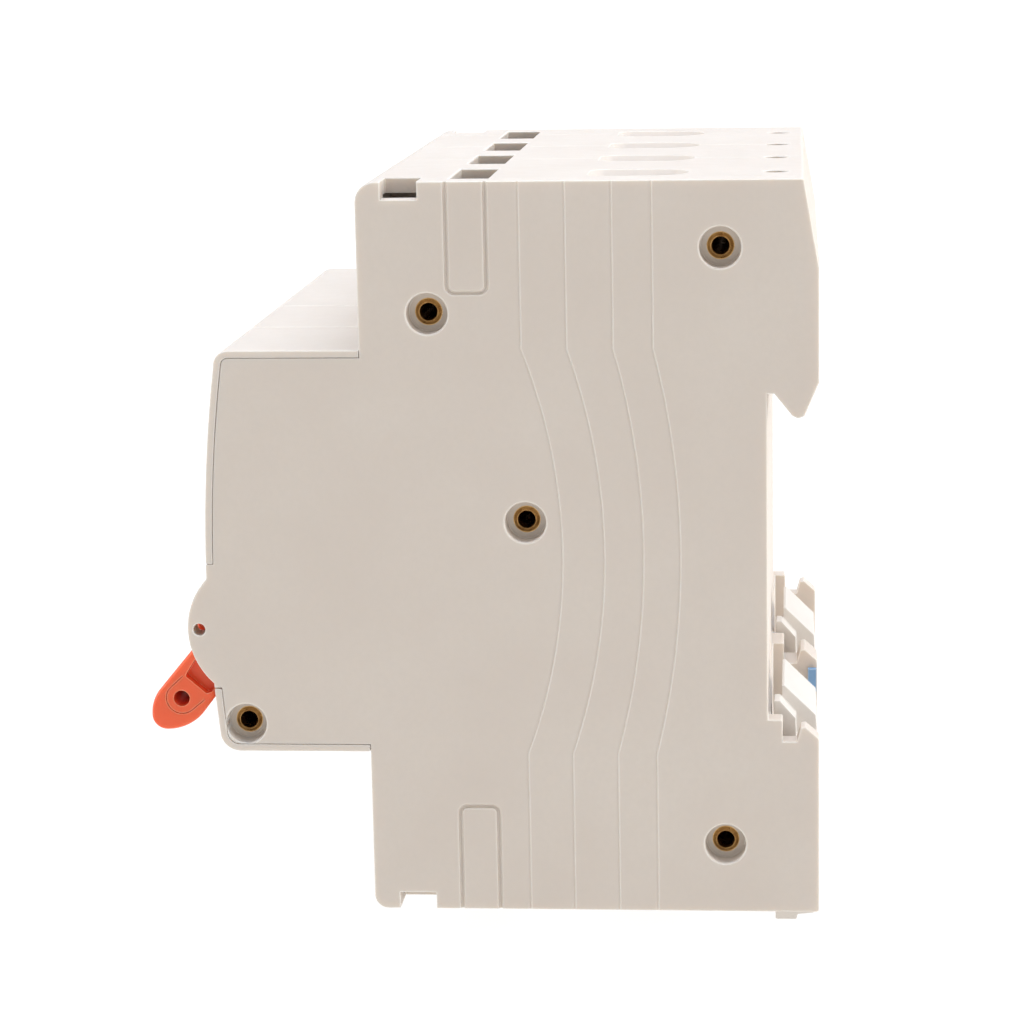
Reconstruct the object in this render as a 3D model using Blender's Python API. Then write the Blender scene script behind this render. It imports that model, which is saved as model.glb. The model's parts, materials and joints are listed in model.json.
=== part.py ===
"""Four-pole residual current device for a 35 mm top-hat rail, built as an assembly.

Frame: +Z is up, the front with the toggle faces -Y, +X is the device's right-hand side.
The origin is the middle of the rail seat: Y = 0 on the face that touches the rail, Z = 0 on
the rail's centre line. Every number below is in millimetres until MM turns it into metres.
"""

import math

import bmesh
import bpy
from mathutils import Matrix, Vector

MM = 0.001
GAP = 0.3                     # clearance that neighbouring pieces keep
BIG = 80.0                    # reaches past the whole device

# Overall sizes
MODULE = 18.0                 # one pole
HALF_WIDTH = 2 * MODULE
HALF_HEIGHT = 40.75
BACK_Y = 5.6                  # rearmost plane, behind the rail seat
SHOULDER_Y = -44.1            # front of the terminal shoulders
FRONT_Y = -61.84              # foremost line of the curved front
STEP_Z = 22.55                # half height of the front block
FRONT_RADIUS = 168.0          # bow of the front face
FRONT_BOW_Z = -3.0
WALL = 1.6
COVER_SKIN = 0.8              # front cover thickness
SIDE_COVER = 2.5              # thickness of the right cover and of the left wall
PARTITION = 1.2
POLES = [1.5 * MODULE, 0.5 * MODULE, -0.5 * MODULE, -1.5 * MODULE]

# Rail seat, hook and jaw
SEAT_TOP_Z = 17.65
SEAT_BOTTOM_Z = -18.65
JAW_FLOOR_Z = -21.15
RIB_HALF = 2.5                # rib between the two clip recesses
RECESS_FLOOR_Z = -26.5
CLIP_CENTRES = {"right": 25.5, "left": 25.5 - 2 * MODULE}

# Terminals, measured on the upper side; the lower side is its mirror image
SCREW_Z = 31.3
SCREW_HEAD_R = 3.5
SCREW_SHAFT_R = 2.4
HEAD_FRONT_Y = -41.6
HEAD_BACK_Y = -38.9
BAR_FRONT_Y = -22.2
BAR_BACK_Y = -20.4
ACCESS_R = 3.9
CAGE_Y = (-27.2, -6.9)
CAGE_Z = (27.0, 35.6)
CAGE_HALF = 5.8
CAGE_WALL = 1.4
SLOT_Y = (-34.33, -29.9)
SLOT_HALF = 6.03
ENTRY_Y = (-19.5, -8.5)
ENTRY_HALF = 3.9
FUNNEL = 1.2                  # width and depth of the lead-in round a wire entry
VENT_Y = 0.9
VENT_R = 1.5

# Rivets: (y, z) of each, through the whole width
RIVETS = {
    "rear_top": (-4.95, 33.5),
    "front_top": (-36.6, 26.5),
    "middle": (-26.35, 3.5),
    "rear_bottom": (-4.75, -32.95),
    "front_bottom": (-57.95, -19.38),
}
RIVET_R = 1.55
RIVET_BORE_R = 0.93
POCKET_R = 2.25
POCKET_DEPTH = 2.0
RIVET_END = 34.3

# Toggle and contact mechanism
TOGGLE_AXIS = (-55.8, -8.63)
DRUM_R = 7.9
CHEEK_R = 8.33
TOGGLE_X = (20.3, 33.1)
CHEEK_X = (18.9, 20.0)
LEVER_ANGLE = 41.1            # below horizontal, at OFF
LEVER_HOLE_REACH = 13.3       # from the pivot to the hole through the lever
LEVER_HOLE_R = 0.91
WINDOW_LOW_Z = -15.4          # lower and upper edge of the toggle's opening
WINDOW_HIGH_Z = -1.2
CRANK_R = 5.5
CRANK_ANGLE = 64.0            # above the rearward direction, at OFF
CARRIER_AXIS = (-42.5, 6.0)
CARRIER_TRAVEL = 17.6
CARRIER_ARM = 14.45
LINK_X = (22.4, 23.8)
CONTACT_Y = -31.0
FIXED_CONTACT_Z = 10.8        # underside of the fixed contacts

# Trip relay and latch
RELAY_X = (20.8, 32.0)
RELAY_Y = (-30.0, -15.0)
RELAY_Z = (-19.0, -7.6)
PLUNGER_XZ = (29.0, -12.6)
LATCH_AXIS = (-37.0, -17.0)

# Summation transformer
TOROID_Y = -14.8
TOROID_Z = (-17.0, -7.0)
TOROID_R = (6.5, 12.3)
WIRE_R = 1.3

# Front details of the second module
BUTTON_X = 9.0
BUTTON_Z = -9.0
BUTTON_HALF = 3.1
WINDOW_Z = 6.0
WINDOW_HALF = (3.6, 1.7)
FLAG_AXIS = (-56.4, 6.0)
FLAG_R = 3.3


def clear_scene():
    """Remove whatever objects the scene starts with."""
    for obj in list(bpy.data.objects):
        bpy.data.objects.remove(obj, do_unlink=True)


def material(name, colour, roughness, metallic=0.0, alpha=1.0):
    """Plain Principled material."""
    mat = bpy.data.materials.new(name)
    mat.use_nodes = True
    shader = mat.node_tree.nodes["Principled BSDF"]
    shader.inputs["Base Color"].default_value = (*colour, 1.0)
    shader.inputs["Roughness"].default_value = roughness
    shader.inputs["Metallic"].default_value = metallic
    shader.inputs["Alpha"].default_value = alpha
    return mat


def arc(centre, radius, start, end, steps):
    """Points on an arc, angles in degrees from the first axis towards the second."""
    points = []
    for i in range(steps + 1):
        angle = math.radians(start + (end - start) * i / steps)
        points.append((centre[0] + radius * math.cos(angle), centre[1] + radius * math.sin(angle)))
    return points


def place(u, v, w, axis):
    """Put outline coordinates (u, v) and depth w into space for an extrusion axis."""
    if axis == "X":
        return Vector((w, u, v)) * MM
    if axis == "Y":
        return Vector((u, w, v)) * MM
    return Vector((u, v, w)) * MM


def as_object(name, bm):
    """Turn a bmesh into a linked object with outward normals."""
    bmesh.ops.recalc_face_normals(bm, faces=bm.faces)
    mesh = bpy.data.meshes.new(name)
    bm.to_mesh(mesh)
    bm.free()
    obj = bpy.data.objects.new(name, mesh)
    bpy.context.scene.collection.objects.link(obj)
    return obj


def prism(name, outline, low, high, axis="X"):
    """Solid made by pushing a closed outline along an axis."""
    bm = bmesh.new()
    bottom = [bm.verts.new(place(u, v, low, axis)) for u, v in outline]
    top = [bm.verts.new(place(u, v, high, axis)) for u, v in outline]
    bm.faces.new(bottom)
    bm.faces.new(list(reversed(top)))
    for i in range(len(outline)):
        j = (i + 1) % len(outline)
        bm.faces.new([bottom[i], top[i], top[j], bottom[j]])
    return as_object(name, bm)


def block(name, x, y, z):
    """Box from three (low, high) pairs."""
    outline = [(y[0], z[0]), (y[1], z[0]), (y[1], z[1]), (y[0], z[1])]
    return prism(name, outline, x[0], x[1])


def rod(name, centre, radius, low, high, axis="X", segments=20):
    """Cylinder along an axis; centre is in the plane across that axis."""
    outline = arc(centre, radius, 0, 360 - 360 / segments, segments - 1)
    return prism(name, outline, low, high, axis)


def turned(name, profile, centre, axis, segments):
    """Solid of revolution: profile lists (position along the axis, radius), closed at both ends."""
    bm = bmesh.new()
    rings = []
    for along, radius in profile:
        ring = []
        for u, v in arc(centre, radius, 0, 360 - 360 / segments, segments - 1):
            ring.append(bm.verts.new(place(u, v, along, axis)))
        rings.append(ring)
    for ring, following in zip(rings, rings[1:]):
        for i in range(segments):
            j = (i + 1) % segments
            bm.faces.new([ring[i], ring[j], following[j], following[i]])
    bm.faces.new(rings[0])
    bm.faces.new(list(reversed(rings[-1])))
    return as_object(name, bm)


def tube_ring(name, centre, inner, outer, low, high, axis, segments):
    """Ring of rectangular section around an axis."""
    bm = bmesh.new()
    corners = [(inner, low), (outer, low), (outer, high), (inner, high)]
    loops = []
    for radius, along in corners:
        loop = []
        for u, v in arc(centre, radius, 0, 360 - 360 / segments, segments - 1):
            loop.append(bm.verts.new(place(u, v, along, axis)))
        loops.append(loop)
    for k in range(4):
        first = loops[k]
        second = loops[(k + 1) % 4]
        for i in range(segments):
            j = (i + 1) % segments
            bm.faces.new([first[i], first[j], second[j], second[i]])
    return as_object(name, bm)


def wire(name, points, radius, resolution=2):
    """Round wire along points given in millimetres, as a closed mesh."""
    curve = bpy.data.curves.new(name, "CURVE")
    curve.dimensions = "3D"
    curve.bevel_depth = radius * MM
    curve.bevel_resolution = resolution
    curve.use_fill_caps = True
    spline = curve.splines.new("POLY")
    spline.points.add(len(points) - 1)
    for point, target in zip(spline.points, points):
        point.co = (*(Vector(target) * MM), 1.0)
    guide = bpy.data.objects.new(name + "_route", curve)
    bpy.context.scene.collection.objects.link(guide)
    bpy.context.view_layer.update()
    depsgraph = bpy.context.evaluated_depsgraph_get()
    mesh = bpy.data.meshes.new_from_object(guide.evaluated_get(depsgraph))
    bpy.data.objects.remove(guide, do_unlink=True)
    bm = bmesh.new()
    bm.from_mesh(mesh)
    bmesh.ops.remove_doubles(bm, verts=bm.verts, dist=0.01 * MM)
    return as_object(name, bm)


def rounded_route(corners, radius, steps=3):
    """Replace each inner corner of a route with a smooth bend."""
    route = [Vector(corners[0])]
    for before, corner, after in zip(corners, corners[1:], corners[2:]):
        corner = Vector(corner)
        start = corner + (Vector(before) - corner).normalized() * radius
        end = corner + (Vector(after) - corner).normalized() * radius
        for i in range(steps + 1):
            t = i / steps
            route.append(start * (1 - t) ** 2 + corner * 2 * t * (1 - t) + end * t ** 2)
    route.append(Vector(corners[-1]))
    return route


def combine(target, tool, operation):
    """Boolean of two solids, applied; the tool is used up."""
    modifier = target.modifiers.new("boolean", "BOOLEAN")
    modifier.operation = operation
    modifier.solver = "EXACT"
    modifier.object = tool
    bpy.context.view_layer.update()
    depsgraph = bpy.context.evaluated_depsgraph_get()
    mesh = bpy.data.meshes.new_from_object(target.evaluated_get(depsgraph))
    target.modifiers.clear()
    target.data = mesh
    bpy.data.objects.remove(tool, do_unlink=True)


def carve(target, *tools):
    """Cut each tool out of the target."""
    for tool in tools:
        combine(target, tool, "DIFFERENCE")


def weld(target, *tools):
    """Join each tool to the target."""
    for tool in tools:
        combine(target, tool, "UNION")


def finish(obj, mat, origin=None, smooth=True):
    """Give a piece its material, its origin and its shading."""
    obj.data.materials.clear()
    obj.data.materials.append(mat)
    if origin is not None:
        shift = Vector(origin) * MM
        obj.data.transform(Matrix.Translation(-shift))
        obj.location = shift
    if smooth:
        obj.data.shade_smooth()
        obj.data.set_sharp_from_angle(angle=math.radians(35))
    return obj


def turned_about(point, axis, degrees):
    """Rotate a (y, z) point about an axis point, from +Y towards +Z."""
    angle = math.radians(degrees)
    dy = point[0] - axis[0]
    dz = point[1] - axis[1]
    return (
        axis[0] + dy * math.cos(angle) - dz * math.sin(angle),
        axis[1] + dy * math.sin(angle) + dz * math.cos(angle),
    )


def mirrored(outline):
    """Outline reflected from the upper side to the lower side."""
    return [(u, -v) for u, v in outline]


def span(low, high, side):
    """Range of Z on the upper side (side 1) or on the lower side (side -1)."""
    return (low, high) if side > 0 else (-high, -low)


# ---------------------------------------------------------------- housing


def face_y(z, inset):
    """Y of the bowed front face at a height, for a face drawn back by the inset."""
    bow = FRONT_RADIUS - inset
    return FRONT_Y + FRONT_RADIUS - math.sqrt(bow ** 2 - (z - FRONT_BOW_Z) ** 2)


def front_profile(inset):
    """Curved front from the lower shoulder corner to the upper one, set back by inset."""
    low_corner = 2.2 - inset
    top_corner = 1.6 - inset
    edge = STEP_Z - inset
    low_z = -edge + low_corner
    top_z = edge - top_corner
    points = arc((face_y(low_z, inset) + low_corner, low_z), low_corner, 270, 180, 3)
    for i in range(1, 7):
        z = low_z + (top_z - low_z) * i / 7
        points.append((face_y(z, inset), z))
    points += arc((face_y(top_z, inset) + top_corner, top_z), top_corner, 180, 90, 3)
    return points


def body_outline():
    """Side view of the housing behind the front cover."""
    inset = COVER_SKIN + 0.25
    outline = [(SHOULDER_Y, -(STEP_Z - inset))]
    outline += front_profile(inset)
    outline.append((SHOULDER_Y, STEP_Z - inset))
    outline += arc((SHOULDER_Y + 2.2, HALF_HEIGHT - 2.2), 2.2, 180, 90, 3)
    outline += [
        (3.95, HALF_HEIGHT),
        (BACK_Y, 31.2),
        (BACK_Y, 18.9),
        (4.0, 15.25),
        (3.35, 14.95),
        (2.7, 15.3),
        (0.8, SEAT_TOP_Z),
        (0.0, SEAT_TOP_Z),
        (0.0, SEAT_BOTTOM_Z),
        (1.6, SEAT_BOTTOM_Z),
        (1.6, JAW_FLOOR_Z),
        (3.15, JAW_FLOOR_Z),
        (3.6, -19.6),
        (4.05, -19.5),
        (BACK_Y, -20.8),
        (BACK_Y, -HALF_HEIGHT),
    ]
    outline += arc((SHOULDER_Y + 1.5, -HALF_HEIGHT + 1.5), 1.5, 270, 180, 3)
    return outline


def pocket_outline():
    """Inside of a casing, open at the front behind the front cover."""
    inner_step = STEP_Z - COVER_SKIN - 0.25 - WALL
    top = HALF_HEIGHT - WALL
    shoulder = SHOULDER_Y + WALL
    return [
        (shoulder, top),
        (2.4, top),
        (4.0, 30.9),
        (4.0, 20.4),
        (-WALL, 20.4),
        (-WALL, -top),
        (shoulder, -top),
        (shoulder, -inner_step),
        (-59.2, -inner_step),
        (-59.2, -17.5),
        (-63.0, -17.5),
        (-63.0, 17.5),
        (-59.2, 17.5),
        (-59.2, inner_step),
        (shoulder, inner_step),
    ]


def rivet_holes(target):
    """Clearance holes for the rivets, through everything."""
    for y, z in RIVETS.values():
        carve(target, rod("hole", (y, z), RIVET_R + GAP, -BIG, BIG, segments=12))


def entry_outline(pole, inset):
    """D-shaped wire entry seen from above: (x, y), round towards the rail."""
    half = ENTRY_HALF - inset
    rear = ENTRY_Y[1] - ENTRY_HALF
    front = ENTRY_Y[0] + inset
    return [(pole - half, front), (pole + half, front)] + arc((pole, rear), half, 0, 180, 8)


def funnel(name, narrow, wide, heights):
    """Cutter along Z: straight in its first outline, then opening out to the second one."""
    bm = bmesh.new()
    sections = [(narrow, heights[0]), (narrow, heights[1]), (wide, heights[2]), (wide, heights[3])]
    rings = [[bm.verts.new(place(u, v, w, "Z")) for u, v in points] for points, w in sections]
    bm.faces.new(rings[0])
    bm.faces.new(list(reversed(rings[-1])))
    for ring, following in zip(rings, rings[1:]):
        for i in range(len(ring)):
            j = (i + 1) % len(ring)
            bm.faces.new([ring[i], ring[j], following[j], following[i]])
    return as_object(name, bm)


def terminal_openings(target, pole):
    """Wire entry, busbar slot, small round hole and screw access of a pole, above and below."""
    for side in (1, -1):
        through = span(HALF_HEIGHT - WALL - 1.0, HALF_HEIGHT + 5.0, side)
        depths = (WALL + 1.0, FUNNEL, 0.0, -5.0)
        heights = [side * (HALF_HEIGHT - depth) for depth in depths]
        carve(
            target,
            funnel("entry", entry_outline(pole, FUNNEL), entry_outline(pole, 0.0), heights),
            block("slot", (pole - SLOT_HALF, pole + SLOT_HALF), SLOT_Y, through),
            rod("vent", (pole, VENT_Y), VENT_R, through[0], through[1], "Z", 10),
            rod("access", (pole, side * SCREW_Z), ACCESS_R, -60, SHOULDER_Y + WALL + 1, "Y", 16),
        )


def clip_channels(target):
    """Recesses behind the rail seat in which the two clips slide."""
    for name, centre in CLIP_CENTRES.items():
        if name == "right":
            reach = (RIB_HALF, HALF_WIDTH - SIDE_COVER - 0.1)
        else:
            reach = (-HALF_WIDTH + SIDE_COVER, -RIB_HALF)
        carve(
            target,
            block("beak_recess", reach, (0.3, 8.0), (RECESS_FLOOR_Z, -15.0)),
            block("channel_a", (centre - 5.8, centre - 1.8), (0.4, 4.3), (-45.0, -26.0)),
            block("channel_b", (centre + 1.8, centre + 5.8), (0.4, 4.3), (-45.0, -26.0)),
            block("channel_c", (centre - 2.0, centre + 2.0), (0.4, 4.3), (-39.4, -26.0)),
        )


def partition_windows(target):
    """Openings in a partition for the shaft, the transformer and its conductors."""
    window = block("window", (-BIG, BIG), (-29.0, -WALL), (-24.5, -2.2))
    carve(target, window, rod("shaft_hole", CARRIER_AXIS, 3.4, -BIG, BIG))


def casing(name, low, high, partition, poles, mat):
    """Casing: an outer ring with a partition inside it."""
    obj = prism(name, body_outline(), low, high)
    partition_windows(obj)
    half = PARTITION / 2
    pocket = pocket_outline()
    carve(obj, prism("pocket", pocket, low - 1.0, partition - half))
    carve(obj, prism("pocket", pocket, partition + half, high + 1.0))
    rivet_holes(obj)
    for pole in poles:
        terminal_openings(obj, pole)
    clip_channels(obj)
    return finish(obj, mat)


def end_notches(target, side):
    """Small corner notches at the shoulder edges of one side."""
    reach = sorted((side * (HALF_WIDTH - 4.5), side * (HALF_WIDTH + 1)))
    carve(
        target,
        block("notch", reach, (-41.36, -37.36), (38.8, 45.0)),
        block("notch", reach, (-41.25, -37.15), (-45.0, -38.85)),
    )


def make_housing(plastic):
    """Right cover, four casings and their openings."""
    seam = GAP / 2
    inner = HALF_WIDTH - SIDE_COVER - GAP
    right = casing("right_casing", MODULE / 2 + seam, inner, MODULE, POLES[:2], plastic)
    end_notches(right, 1)
    carve(right, rod("pin_hole", TOGGLE_AXIS, 1.5, 15.0, 25.0))
    casing("middle_casing_right", -MODULE / 2 + seam, MODULE / 2 - seam, 0.0, POLES[1:3], plastic)
    middle = (-1.5 * MODULE + seam, -MODULE / 2 - seam)
    casing("middle_casing_left", middle[0], middle[1], -MODULE, POLES[2:], plastic)
    make_left_casing(plastic, -1.5 * MODULE - seam)
    make_right_cover(plastic)


def make_left_casing(plastic, high):
    """Casing that closes the left side with its own wall."""
    obj = prism("left_casing", body_outline(), -HALF_WIDTH, high)
    carve(obj, prism("pocket", pocket_outline(), -HALF_WIDTH + SIDE_COVER, high + 1.0))
    rivet_holes(obj)
    for y, z in RIVETS.values():
        carve(obj, rod("pocket", (y, z), POCKET_R, -BIG, -HALF_WIDTH + POCKET_DEPTH))
    terminal_openings(obj, POLES[3])
    clip_channels(obj)
    end_notches(obj, -1)
    finish(obj, plastic)


def make_right_cover(plastic):
    """Flat cover of the right side, with its cheek beside the toggle."""
    low = HALF_WIDTH - SIDE_COVER
    obj = prism("right_cover", body_outline(), low, HALF_WIDTH)
    flush = [(-60.0, WINDOW_LOW_Z + GAP)]
    for i in range(7):
        z = WINDOW_LOW_Z + GAP + (WINDOW_HIGH_Z - WINDOW_LOW_Z - 2 * GAP) * i / 6
        flush.append((face_y(z, 0.0), z))
    flush.append((-60.0, WINDOW_HIGH_Z - GAP))
    weld(
        obj,
        prism("flush_edge", flush, low, HALF_WIDTH),
        rod("cheek", TOGGLE_AXIS, CHEEK_R, low, HALF_WIDTH, segments=48),
    )
    rivet_holes(obj)
    for y, z in RIVETS.values():
        carve(obj, rod("pocket", (y, z), POCKET_R, HALF_WIDTH - POCKET_DEPTH, BIG))
    end_notches(obj, 1)
    for outline in (u_groove(1), u_groove(-1)):
        carve(obj, prism("groove", outline, HALF_WIDTH - 0.5, HALF_WIDTH + 1))
    carve(
        obj,
        rod("pin_seat", TOGGLE_AXIS, 1.5, low - 1, low + 1.3),
        rod("cheek_hole", (-62.84, -8.6), 0.71, low - 1, HALF_WIDTH + 1, segments=16),
    )
    finish(obj, plastic)


def u_groove(side):
    """Outline of the U-shaped groove that runs out at the upper or lower edge."""
    edge = HALF_HEIGHT + 1.0
    floor = 28.5
    front, back = -34.6, -29.75
    width = 0.55
    outline = [
        (front, edge),
        (front, floor + 0.4),
        (front + 0.4, floor),
        (back - 0.4, floor),
        (back, floor + 0.4),
        (back, edge),
        (back - width, edge),
        (back - width, floor + width),
        (front + width, floor + width),
        (front + width, edge),
    ]
    return outline if side > 0 else mirrored(outline)


def make_front_cover(plastic):
    """Thin shell wrapped round the front block, with the openings of the controls."""
    end = SHOULDER_Y - GAP
    outer = front_profile(0.0)
    inner = front_profile(COVER_SKIN)
    outline = [(end, -STEP_Z)] + outer + [(end, STEP_Z), (end, STEP_Z - COVER_SKIN)]
    outline += list(reversed(inner)) + [(end, -STEP_Z + COVER_SKIN)]
    obj = prism("front_cover", outline, -HALF_WIDTH, HALF_WIDTH)
    cheek = [(-60.9, -14.2), (-60.9, -3.1)] + arc(TOGGLE_AXIS, CHEEK_R, 142, 218, 14)
    weld(obj, prism("cheek", cheek, CHEEK_X[0], CHEEK_X[1]))
    carve(
        obj,
        block("toggle_window", (CHEEK_X[1], BIG), (-70, -59), (WINDOW_LOW_Z, WINDOW_HIGH_Z)),
        block(
            "button_hole",
            (BUTTON_X - BUTTON_HALF - GAP, BUTTON_X + BUTTON_HALF + GAP),
            (-70, -59),
            (BUTTON_Z - BUTTON_HALF - GAP, BUTTON_Z + BUTTON_HALF + GAP),
        ),
        block(
            "indicator_hole",
            (BUTTON_X - WINDOW_HALF[0] - GAP, BUTTON_X + WINDOW_HALF[0] + GAP),
            (-70, -59),
            (WINDOW_Z - WINDOW_HALF[1] - GAP, WINDOW_Z + WINDOW_HALF[1] + GAP),
        ),
    )
    rear_y, rear_z = RIVETS["front_bottom"]
    for side in (1, -1):
        reach = sorted((side * (HALF_WIDTH - POCKET_DEPTH), side * BIG))
        carve(obj, rod("rivet_pocket", (rear_y, rear_z), POCKET_R, reach[0], reach[1]))
    for x in (0.0, MODULE):
        carve(obj, block("joint", (x - 0.15, x + 0.15), (-64, -40), (STEP_Z - 0.4, STEP_Z + 1)))
    finish(obj, plastic)


def make_rivets(brass):
    """Hollow rivets with rolled ends."""
    for name, centre in RIVETS.items():
        obj = tube_ring("rivet_" + name, centre, RIVET_BORE_R, RIVET_R, -RIVET_END, RIVET_END, "X", 16)
        finish(obj, brass)


# ---------------------------------------------------------------- rail clips


def make_clip(side, centre, plastic, steel):
    """Sliding clip behind the lower rail edge, and the spring that returns it."""
    beak = [(1.5, -16.4), (1.75, -16.3), (5.3, -19.75), (5.4, -21.5), (3.0, -21.9), (1.5, -21.9)]
    shoulder = [(0.6, -17.4), (1.3, -17.4), (3.05, -19.4), (3.1, -22.3), (1.75, -22.3), (0.6, -18.9)]
    obj = prism("din_clip_" + side, beak, centre - 7.0, centre + 4.5)
    tail = [(0.7, -41.1), (5.2, -41.1), (5.2, -43.2), (3.2, -43.4), (3.1, -44.0), (0.7, -44.0)]
    weld(
        obj,
        prism("shoulder", shoulder, centre + 4.2, centre + 7.1),
        block("plate", (centre - 5.4, centre + 5.4), (1.75, 3.0), (-41.5, -21.0)),
        prism("tail", tail, centre - 4.0, centre + 4.0),
    )
    carve(obj, block("spring_window", (centre - 2.3, centre + 2.3), (0.0, 6.0), (-41.2, -32.8)))
    finish(obj, plastic)
    make_coil("clip_spring_" + side, (centre, 2.35), 1.3, 0.25, (-39.1, -33.05), 5, steel)


def make_coil(name, centre, radius, thickness, ends, turns, mat):
    """Compression spring along Z between two heights."""
    points = []
    count = turns * 7
    low = ends[0] + thickness
    high = ends[1] - thickness
    for i in range(count + 1):
        angle = 2 * math.pi * turns * i / count
        z = low + (high - low) * i / count
        points.append((centre[0] + radius * math.cos(angle), centre[1] + radius * math.sin(angle), z))
    finish(wire(name, points, thickness, 0), mat)


# ---------------------------------------------------------------- terminals and conductors


def make_terminal(number, pole, side, steel, zinc):
    """Screw and cage of one terminal."""
    label = ("top_" if side > 0 else "bottom_") + str(number)
    z = side * SCREW_Z
    profile = [
        (HEAD_FRONT_Y, SCREW_HEAD_R - 0.4),
        (HEAD_FRONT_Y + 0.4, SCREW_HEAD_R),
        (HEAD_BACK_Y, SCREW_HEAD_R),
        (HEAD_BACK_Y, SCREW_SHAFT_R),
        (BAR_FRONT_Y - GAP - 0.8, SCREW_SHAFT_R),
        (BAR_FRONT_Y - GAP, SCREW_SHAFT_R - 0.8),
    ]
    screw = turned("terminal_screw_" + label, profile, (pole, z), "Y", 16)
    depth = (HEAD_FRONT_Y - 1, HEAD_FRONT_Y + 1.6)
    carve(
        screw,
        block("slot", (pole - 2.4, pole + 2.4), depth, (z - 0.5, z + 0.5)),
        block("slot", (pole - 0.5, pole + 0.5), depth, (z - 2.4, z + 2.4)),
    )
    finish(screw, steel, (pole, HEAD_FRONT_Y, z))
    height = span(CAGE_Z[0], CAGE_Z[1], side)
    cage = block("terminal_cage_" + label, (pole - CAGE_HALF, pole + CAGE_HALF), CAGE_Y, height)
    hollow = (CAGE_Y[0] + 1.6, CAGE_Y[1] - CAGE_WALL)
    carve(
        cage,
        block("window", (pole - CAGE_HALF + CAGE_WALL, pole + CAGE_HALF - CAGE_WALL), hollow, (-BIG, BIG)),
        rod("thread", (pole, z), SCREW_SHAFT_R + GAP, CAGE_Y[0] - 1, CAGE_Y[0] + 3, "Y", 16),
    )
    finish(cage, zinc, (pole, CAGE_Y[0], z))


def make_supply_conductor(number, pole, copper):
    """Strip from an upper terminal down to the fixed contact."""
    low = FIXED_CONTACT_Z
    outline = [
        (BAR_BACK_Y, 36.6),
        (BAR_FRONT_Y, 36.6),
        (BAR_FRONT_Y, low + 3.0),
        (CONTACT_Y - 2.4, low + 3.0),
        (CONTACT_Y - 2.4, low + 1.4),
        (BAR_BACK_Y, low + 1.4),
    ]
    obj = prism("supply_conductor_" + str(number), outline, pole - 3.2, pole + 3.2)
    weld(obj, rod("fixed_contact", (pole, CONTACT_Y), 1.7, low, low + 2.0, "Z", 14))
    finish(obj, copper)


def make_load_conductor(number, pole, copper):
    """Strip in a lower terminal, with the lead that runs through the transformer."""
    strip_top = -25.0
    height = (-36.6, strip_top)
    obj = block("load_conductor_" + str(number), (pole - 3.2, pole + 3.2), (BAR_FRONT_Y, BAR_BACK_Y), height)
    inward = 2.7 if pole > 0 else -2.7
    outer = abs(pole) > MODULE
    bore_y = TOROID_Y + (2.7 if outer else -2.7)
    middle = (BAR_FRONT_Y + BAR_BACK_Y) / 2
    route = [
        (pole, middle, strip_top - 2.0),
        (pole, middle, -21.6),
        (pole, bore_y, -21.6),
        (inward, bore_y, -21.6),
        (inward, bore_y, -4.4),
        (pole, bore_y, -4.4),
        (pole, -31.5, -4.4),
        (pole, -33.5, -2.2),
    ]
    lead = wire("lead", rounded_route(route, 1.3, 2), WIRE_R, 1)
    weld(obj, lead)
    finish(obj, copper)


def make_moving_contact(number, pole, copper):
    """Contact arm clipped round the carrier, drawn at OFF."""
    bend = -CARRIER_TRAVEL
    obj = rod("moving_contact_" + str(number), CARRIER_AXIS, 6.2, pole - 3.0, pole + 3.0, segments=16)
    tip = FIXED_CONTACT_Z - GAP - 1.0
    bar = [(CARRIER_AXIS[0] + 5.0, 5.6), (-29.6, tip - 1.9), (-29.6, tip), (CARRIER_AXIS[0] + 5.0, 9.0)]
    bar = [turned_about(point, CARRIER_AXIS, bend) for point in bar]
    weld(obj, prism("arm", bar, pole - 2.4, pole + 2.4))
    pad = [(CONTACT_Y - 1.3, tip - 0.6), (CONTACT_Y + 1.2, tip - 0.6), (CONTACT_Y + 1.2, tip + 0.95)]
    pad.append((CONTACT_Y - 1.3, tip + 0.95))
    pad = [turned_about(point, CARRIER_AXIS, bend) for point in pad]
    weld(obj, prism("pad", pad, pole - 1.5, pole + 1.5))
    carve(obj, rod("bore", CARRIER_AXIS, 4.9, pole - 5, pole + 5, segments=16))
    finish(obj, copper, (pole, *CARRIER_AXIS))


# ---------------------------------------------------------------- mechanism


def from_pivot(y, z):
    """Point given from the toggle's pivot."""
    return (TOGGLE_AXIS[0] + y, TOGGLE_AXIS[1] + z)


def lever_outline():
    """Side view of the lever at OFF: a tongue with a lopsided round tip, cut back by the cover's edge."""
    outline = [from_pivot(-5.9, 0.11)]
    outline += arc(from_pivot(-9.15, -10.6), 4.4, 140, 180, 4)
    outline += arc(from_pivot(-11.85, -10.73), 1.7, 180, 270, 5)
    outline += arc(from_pivot(-11.8, -7.08), 5.35, 270, 323, 5)
    outline += [from_pivot(-6.23, -8.61), from_pivot(-6.25, -6.27), from_pivot(-4.68, -5.2)]
    return outline


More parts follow.
